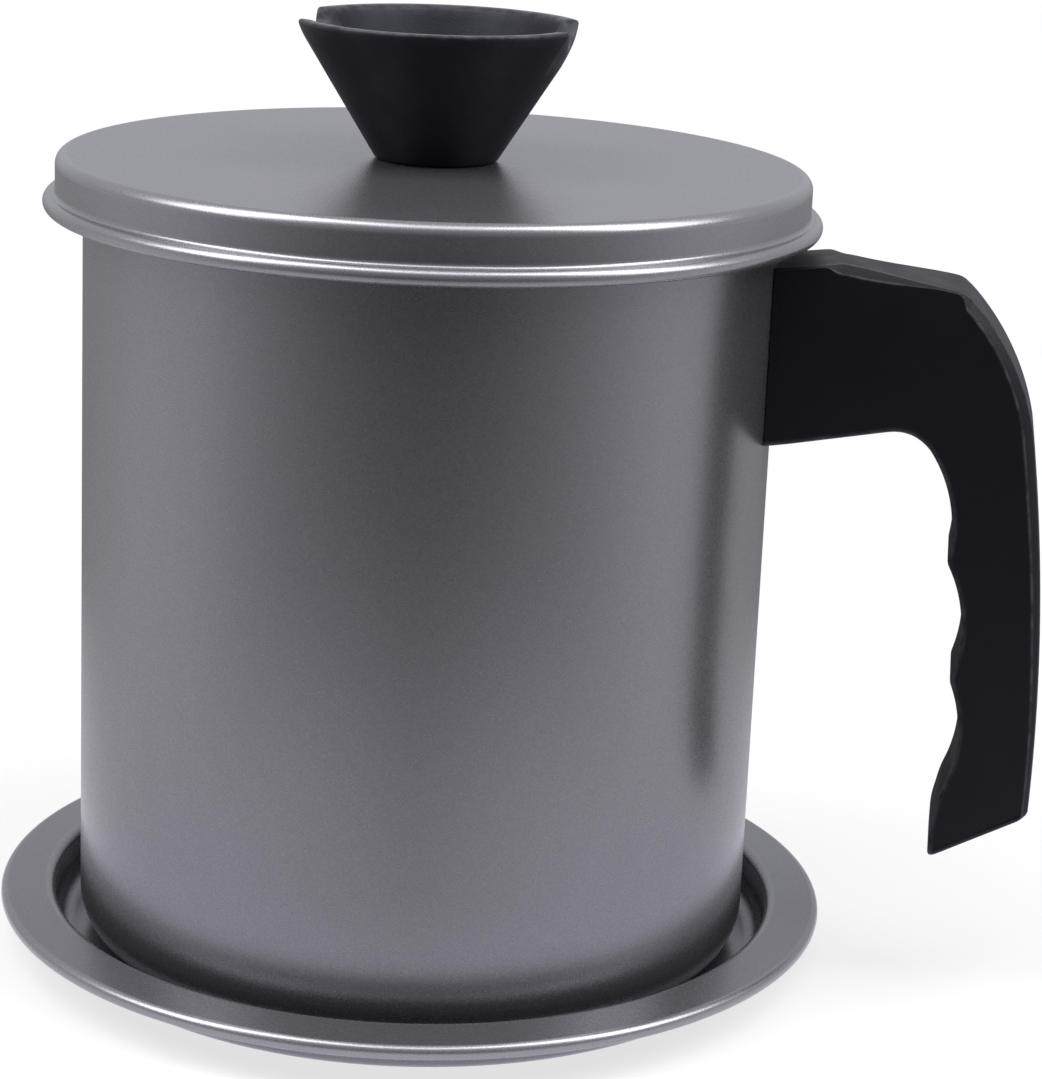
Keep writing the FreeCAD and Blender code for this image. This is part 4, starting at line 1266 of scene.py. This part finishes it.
def mixed_shaders(tree, factor, first, second):
    """A shader between two."""
    return added(tree, "ShaderNodeMixShader", {0: factor, 1: first, 2: second})


# %% [markdown]
# The patterns come next.  The edge attribute was written into the meshes above,
# so a finish reads it like any other number.
#
# %% Patterns, edges and bumps
def noise(tree, scale, detail, stretch=(1, 1, 1)):
    """Noise from 0 to 1 on Object coordinates, stretched along the axes if asked."""
    place = added(tree, "ShaderNodeTexCoord", {}, "Object")
    spread = added(tree, "ShaderNodeMapping", {"Vector": place, "Scale": stretch}, "Vector")
    return added(tree, "ShaderNodeTexNoise", {"Vector": spread, "Scale": scale, "Detail": detail}, "Fac")


def flake_numbers(tree, scale):
    """Two random numbers for each Voronoi cell on Object coordinates, as separate flakes have."""
    place = added(tree, "ShaderNodeTexCoord", {}, "Object")
    colour = added(tree, "ShaderNodeTexVoronoi", {"Vector": place, "Scale": scale}, "Color")
    node = tree.nodes.new("ShaderNodeSeparateColor")
    feed(tree, node, {"Color": colour})
    return node.outputs["Red"], node.outputs["Green"]


def edge_of(tree):
    """The mesh's edge attribute: 0 on flats, 1 on tight bends, below 0 inside the grip."""
    node = tree.nodes.new("ShaderNodeAttribute")
    node.attribute_name = "edge"
    return node.outputs["Fac"]


def bumped(tree, height, strength, distance, under=None):
    """A normal that follows a height, on top of another bump if one is given."""
    inputs = {"Height": height, "Strength": strength, "Distance": distance}
    if under is not None:
        inputs["Normal"] = under
    return added(tree, "ShaderNodeBump", inputs, "Normal")


print("helpers ready for Blender", bpy.app.version_string)

# %% [markdown]
# The coat on the pressings is a grey lacquer full of metal flakes.  One Voronoi
# cell stands for one flake, a quarter of a millimetre across.  Its two random
# numbers vary the tone and the roughness by a little, so that the coat glitters
# finely instead of looking like plain paint.  At tight bends it is painted paler,
# a painted highlight that widens the lamps' lines.  A faint bump breaks up the
# reflections of the lamps.
#
# %% Coated steel
def coated_steel():
    """Grey non-stick lacquer full of metal flakes: satin, with a fine glitter."""
    material, tree, shader = fresh_material("coated_steel")
    red, green = flake_numbers(tree, 4200)
    coat = mixed_colours(tree, red, (0.192, 0.189, 0.207), (0.212, 0.208, 0.228))
    feed(tree, shader, {
        "Metallic": 0.8,
        # Painted highlight: the base colour turns paler along tight bends.
        "Base Color": mixed_colours(tree, edge_of(tree), coat, (0.245, 0.242, 0.260)),
        "Roughness": mapped(tree, green, 0.265, 0.315, 0, 1),
        "Normal": bumped(tree, noise(tree, 1200, 2), 0.035, 0.01 * MM),
    })
    return material


# %% [markdown]
# The plastic is nearly black, and its grain shows only in the light it reflects.
# A fine bump stands for the spark-eroded mould, and a wide one for the slight
# waves of a thick moulding.  Handling has polished the edges smoother, unevenly,
# and has left broad scuffs on the flats.  The edges are also painted paler,
# unevenly: partly wear, and partly a painted highlight that draws the light lines
# along them.  The inside of the grip, where the edge attribute is below 0, is
# rougher than anything else.
#
# %% Moulded plastic
def moulded_plastic():
    """Black moulded plastic: fine grain, scuffed flats, edges polished and painted paler as wear and highlight, and a
    dull inner grip.
    """
    material, tree, shader = fresh_material("plastic")
    edge = edge_of(tree)
    wear = mapped(tree, noise(tree, 420, 4), 0.25, 1.0, 0.35, 0.65)
    mould = mixed_colours(tree, noise(tree, 40, 3), (0.0044, 0.0045, 0.0062), (0.0068, 0.0070, 0.0094))
    # The paler edge colour is partly wear and partly a painted highlight.
    polish_and_highlight = reckoned(tree, "MULTIPLY", edge, wear)
    scuffs = mapped(tree, noise(tree, 180, 4), 0.40, 0.52)
    grain = bumped(tree, noise(tree, 3400, 2), 0.70, 0.09 * MM)
    feed(tree, shader, {
        "Specular IOR Level": 0.16,
        "Specular Tint": (0.86, 0.88, 1.0, 1),
        "Base Color": mixed_colours(tree, polish_and_highlight, mould, (0.070, 0.070, 0.084)),
        "Roughness": reckoned(tree, "MULTIPLY_ADD", edge, -0.14, scuffs),
        "Normal": bumped(tree, noise(tree, 260, 2), 0.10, 0.08 * MM, grain),
    })
    return material


# %% [markdown]
# The uncoated metals share one recipe.  Two close tones drift over the surface,
# and one fine grain drives both the roughness and the bump.  The stainless ring
# has its grain squeezed along Z, which leaves fine lines round it, as drawing
# and polishing do.
#
# %% Stainless, zinc, brass and wire
def bare_metal(name, dark, light, roughness, grain=2600, stretch=(1, 1, 1)):
    """A bare metal with a fine grain, given its two tones and its roughness."""
    material, tree, shader = fresh_material(name)
    scratches = noise(tree, grain, 2, stretch)
    feed(tree, shader, {
        "Metallic": 1.0,
        "Base Color": mixed_colours(tree, noise(tree, 300, 3), dark, light),
        "Roughness": mapped(tree, scratches, roughness - 0.06, roughness + 0.08),
        "Normal": bumped(tree, scratches, 0.12, 0.02 * MM),
    })
    return material


finishes = {
    "coated_steel": coated_steel(),
    "plastic": moulded_plastic(),
    "stainless": bare_metal("stainless", (0.50, 0.50, 0.49), (0.60, 0.60, 0.59), 0.28, 900, (1, 1, 12)),
    "woven_wire": bare_metal("woven_wire", (0.46, 0.46, 0.45), (0.58, 0.58, 0.57), 0.30),
    "zinc_steel": bare_metal("zinc_steel", (0.48, 0.49, 0.50), (0.62, 0.63, 0.66), 0.36),
    "brass": bare_metal("brass", (0.55, 0.38, 0.14), (0.66, 0.48, 0.20), 0.30),
}
for finish, material in finishes.items():
    print(f"{finish}: {len(material.node_tree.nodes)} nodes")

# %% [markdown]
# Each piece wears one finish.  The bracket inside the handle is the CAD's own
# node: it is never seen whole, so it gets a finish but no new surface.
#
# %% Give every piece its finish
DRESS = {
    "coated_steel": [tray, pot, lid],
    "plastic": [knob, handle],
    "stainless": [strainer_ring, clamp_hoop],
    "woven_wire": [woven_bowl],
    "zinc_steel": [frame["nodes"]["handle_bracket"], *screws, *washers],
    "brass": [bush],
}
for finish, pieces in DRESS.items():
    for piece in pieces:
        piece.data.materials.clear()
        piece.data.materials.append(finishes[finish])
    print(finish, "on", [piece.name for piece in pieces])

# %% [markdown]
# ## The studio
#
# A shiny grey pot shows its room more than itself, so the room is most of the
# work.  Everything is turned by one angle, so that lamps, floor and camera keep
# their places towards each other.  The floor is pale and matt, and takes the
# pot's soft shadow.  Towards its edge it fades into the white behind it, and
# from below it isn't there at all, so that the pot's underside can be looked at.
#
# %% The studio's direction
AZIMUTH = np.radians(9.4)  # the camera stands this far round from the -Y axis
FRONT = Vector((np.sin(AZIMUTH), -np.cos(AZIMUTH), 0))
ASIDE = Vector((np.cos(AZIMUTH), np.sin(AZIMUTH), 0))
print("towards the camera:", np.round(FRONT, 3), "and to its right:", np.round(ASIDE, 3))


def bare_tree(block):
    """The node tree of a new material or world, with nothing in it."""
    block.use_nodes = True
    block.node_tree.nodes.clear()
    return block.node_tree


def is_ray(tree, kind):
    """1 for rays of one kind (Camera, Glossy or Transmission), and 0 for all others."""
    return added(tree, "ShaderNodeLightPath", {}, f"Is {kind} Ray")


# %% [markdown]
# A white floor under a lamp of plain strength renders as a light grey.  So a part
# of it shines by itself with a strength of 1, which is white, but only to the
# camera and in reflections: it adds no light to the object.  In reflections it is
# a little blue, with a painted pool of light close to the tray, and a painted
# shadow straight in front, as a camera and its stand would cast.
#
# %% The floor's material
FLOOR_GLOW = 0.72  # the share of the floor that shines by itself
# The bright pool is painted light and the darker strip in front is a painted shadow, both seen only in reflections.
PAINTED_POOL = (0.095, 0.12)  # metres from the axis over which the bright pool ends, in reflections
PAINTED_SHADOW_HALF = 0.11  # half the width of the darker strip in front, in metres
FADE = (0.12, 0.30)  # metres from FADE_CENTRE over which the floor fades out
FADE_CENTRE = FRONT * 0.06


def floor_material():
    """Matt white, part of it glowing to the camera and in mirrors, with a painted pool of light and a painted shadow
    in mirrors only, faded out by distance.
    """
    material = bpy.data.materials.new("floor")
    tree = bare_tree(material)
    place = added(tree, "ShaderNodeTexCoord", {}, "Object")

    # Painted shadow: a darker strip straight in front, seen only in reflections.
    off_centre = reckoned(tree, "ABSOLUTE", measured(tree, "DOT_PRODUCT", place, ASIDE))
    beside = mapped(tree, off_centre, 0, 1, 0.0, PAINTED_SHADOW_HALF)
    far = mixed_colours(tree, beside, (0.50, 0.49, 0.55), (1.0, 0.985, 1.09))
    # Painted pool of light round the tray, seen only in reflections.
    away = mapped(tree, measured(tree, "LENGTH", place), 0, 1, *PAINTED_POOL)
    painted_floor_reflection = mixed_colours(tree, away, (1.22, 1.19, 1.33), far)
    colour = mixed_colours(tree, is_ray(tree, "Glossy"), (1.0, 1.0, 1.0), painted_floor_reflection)

    matt = added(tree, "ShaderNodeBsdfDiffuse", {"Color": (0.9, 0.9, 0.9, 1)})
    glow = added(tree, "ShaderNodeEmission", {"Color": colour})
    clear = added(tree, "ShaderNodeBsdfTransparent", {})
    seen = reckoned(tree, "MAXIMUM", is_ray(tree, "Camera"), is_ray(tree, "Glossy"))
    shining = mixed_shaders(tree, reckoned(tree, "MULTIPLY", seen, FLOOR_GLOW), matt, glow)
    fade = mapped(tree, measured(tree, "DISTANCE", place, FADE_CENTRE), 0, 1, *FADE)
    below = added(tree, "ShaderNodeNewGeometry", {}, "Backfacing")
    gone = reckoned(tree, "MAXIMUM", fade, below)
    out = tree.nodes.new("ShaderNodeOutputMaterial")
    feed(tree, out, {"Surface": mixed_shaders(tree, gone, shining, clear)})
    return material


# %% Lay the floor
FLOOR_HALF = 1.2  # metres


def studio_floor():
    """One large square at the height of the tray's underside."""
    half = FLOOR_HALF
    corners = [(-half, -half, 0), (half, -half, 0), (half, half, 0), (-half, half, 0)]
    mesh = bpy.data.meshes.new("floor")
    mesh.from_pydata(corners, [], [(0, 1, 2, 3)])
    floor = bpy.data.objects.new("floor", mesh)
    bpy.context.scene.collection.objects.link(floor)
    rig.stage(floor)
    mesh.materials.append(floor_material())
    return floor


floor = studio_floor()
print("floor in m:", np.round(floor.dimensions, 2), "with", len(floor.material_slots), "material")

# %% [markdown]
# The world plays three parts, told apart by the Light Path node.  To the camera
# it is plain white.  To matt surfaces it is a weak, even fill.  To shiny ones it
# is a room: a pale ceiling that darkens towards the camera, and below the
# horizon bright sides with a dark front and back.  Those sides give the pot its
# two long pale bands, and the dark front gives it its darker middle.
#
# %% The world
DARK_WAY = (FRONT - Vector((0, 0, 0.25))).normalized()  # to the camera's side, and a little down


def studio_world():
    """White to the camera, a weak fill to matt surfaces, and a room to shiny ones.

    The room's shade follows the dot product of each direction with DARK_WAY.
    """
    world = bpy.data.worlds.new("studio")
    bpy.context.scene.world = world
    tree = bare_tree(world)
    way = added(tree, "ShaderNodeTexCoord", {}, "Generated")
    ahead = measured(tree, "DOT_PRODUCT", way, DARK_WAY)
    ceiling = mapped(tree, ahead, 0, 1, 0.1, 0.95)
    upper = mixed_colours(tree, ceiling, (0.70, 0.70, 0.76), (0.22, 0.22, 0.24))
    off_side = mapped(tree, reckoned(tree, "ABSOLUTE", ahead), 0, 1, 0.22, 1.0)
    lower = mixed_colours(tree, off_side, (1.04, 1.04, 1.08), (0.08, 0.08, 0.09))
    level = mapped(tree, added(tree, "ShaderNodeSeparateXYZ", {0: way}, "Z"), 0, 1, -0.22, 0.12)
    colour = mixed_colours(tree, level, lower, upper)

    room = added(tree, "ShaderNodeBackground", {"Color": colour, "Strength": 1.0})
    fill = added(tree, "ShaderNodeBackground", {"Color": (1, 1, 1, 1), "Strength": 0.12})
    white = added(tree, "ShaderNodeBackground", {"Color": (1, 1, 1, 1), "Strength": 1.0})
    shiny = reckoned(tree, "MAXIMUM", is_ray(tree, "Glossy"), is_ray(tree, "Transmission"))
    lit = mixed_shaders(tree, shiny, fill, room)
    out = tree.nodes.new("ShaderNodeOutputWorld")
    feed(tree, out, {"Surface": mixed_shaders(tree, is_ray(tree, "Camera"), lit, white)})
    return world


print("world nodes:", len(studio_world().node_tree.nodes))

# %% [markdown]
# Three soft boxes do the lighting.  A tall box on each side draws the bright
# lines along the lid's shoulder and hem, and a weaker one overhead lights the
# handle's top and the knob's hollow.  Their sizes matter more than their power:
# a wide box gives a rounded edge a wide, smooth line.
#
# %% Lamps
POT_MIDDLE = Vector((0, 0, 0.08))


def softbox(name, azimuth, elevation, distance, size, watts):
    """A rectangular lamp that looks at the pot's middle from an azimuth and an elevation.

    It stands at middle + distance * (sin a cos e, -cos a cos e, sin e).
    """
    lamp = bpy.data.lights.new(name, "AREA")
    lamp.shape = "RECTANGLE"
    lamp.size, lamp.size_y = size
    lamp.energy = watts
    place = bpy.data.objects.new(name, lamp)
    bpy.context.scene.collection.objects.link(place)
    a, e = np.radians(azimuth), np.radians(elevation)
    back = Vector((np.sin(a) * np.cos(e), -np.cos(a) * np.cos(e), np.sin(e)))
    place.location = POT_MIDDLE + back * distance
    place.rotation_mode = "QUATERNION"
    place.rotation_quaternion = back.to_track_quat("Z", "Y")
    print(f"{name}: {watts} W, {size[0]} by {size[1]} m, at {np.round(place.location, 2)}")
    return place


softbox("left_box", -66, 52, 0.9, (0.50, 0.85), 8.0)
softbox("right_box", 84, 50, 0.9, (0.50, 0.85), 8.2)
softbox("top_box", 10, 72, 1.0, (0.50, 0.50), 2.2)

# %% [markdown]
# ## The camera
#
# The camera is set by given numbers: how far away and how high it stands, and by
# how much it is turned, tilted and rolled.  Its focal length is given in pixels of
# the render, and together with the sensor's width that fixes the lens.
#
# %% Camera
FOCAL_PIXELS = 3117.0
IMAGE_HEIGHT = 1079
SENSOR = 36.0
DISTANCE, HEIGHT = 532.8 * MM, 221.8 * MM
YAW, PITCH, ROLL = np.radians([1.865, 15.56, 2.43])


def aim_camera():
    """Place the camera by distance, height, yaw, pitch and roll, then turn all by AZIMUTH."""
    flat = np.array([np.sin(YAW), np.cos(YAW), 0])
    forward = np.cos(PITCH) * flat + np.array([0, 0, -np.sin(PITCH)])
    right = np.array([np.cos(YAW), -np.sin(YAW), 0])
    up = np.cross(right, forward)
    across = np.cos(ROLL) * right + np.sin(ROLL) * up
    upward = -np.sin(ROLL) * right + np.cos(ROLL) * up
    axes = Matrix([across, upward, -forward]).transposed().to_4x4()
    axes.translation = Vector((0, -DISTANCE, HEIGHT))
    data = bpy.data.cameras.new("camera")
    data.sensor_width = SENSOR
    data.lens = FOCAL_PIXELS * SENSOR / IMAGE_HEIGHT
    data.clip_start, data.clip_end = 0.01, 20
    camera = bpy.data.objects.new("camera", data)
    bpy.context.scene.collection.objects.link(camera)
    camera.matrix_world = Matrix.Rotation(AZIMUTH, 4, "Z") @ axes
    bpy.context.scene.camera = camera
    return camera


camera = aim_camera()
bpy.context.scene.view_settings.view_transform = "Standard"
print("camera in m:", np.round(camera.matrix_world.translation, 3))
print("lens in mm:", round(camera.data.lens, 1))

# %% [markdown]
# ## The size, and the end
#
# The surfaces should fill the CAD's box and stay inside it.  Both boxes are
# written to a file, as plain lists of the low and the high corner in metres.
#
# %% Finish
with open("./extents.json", "w") as file:
    json.dump({"cad": cad_box, "visual": [list(corner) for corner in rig.bounds()]}, file)
print(open("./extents.json").read())
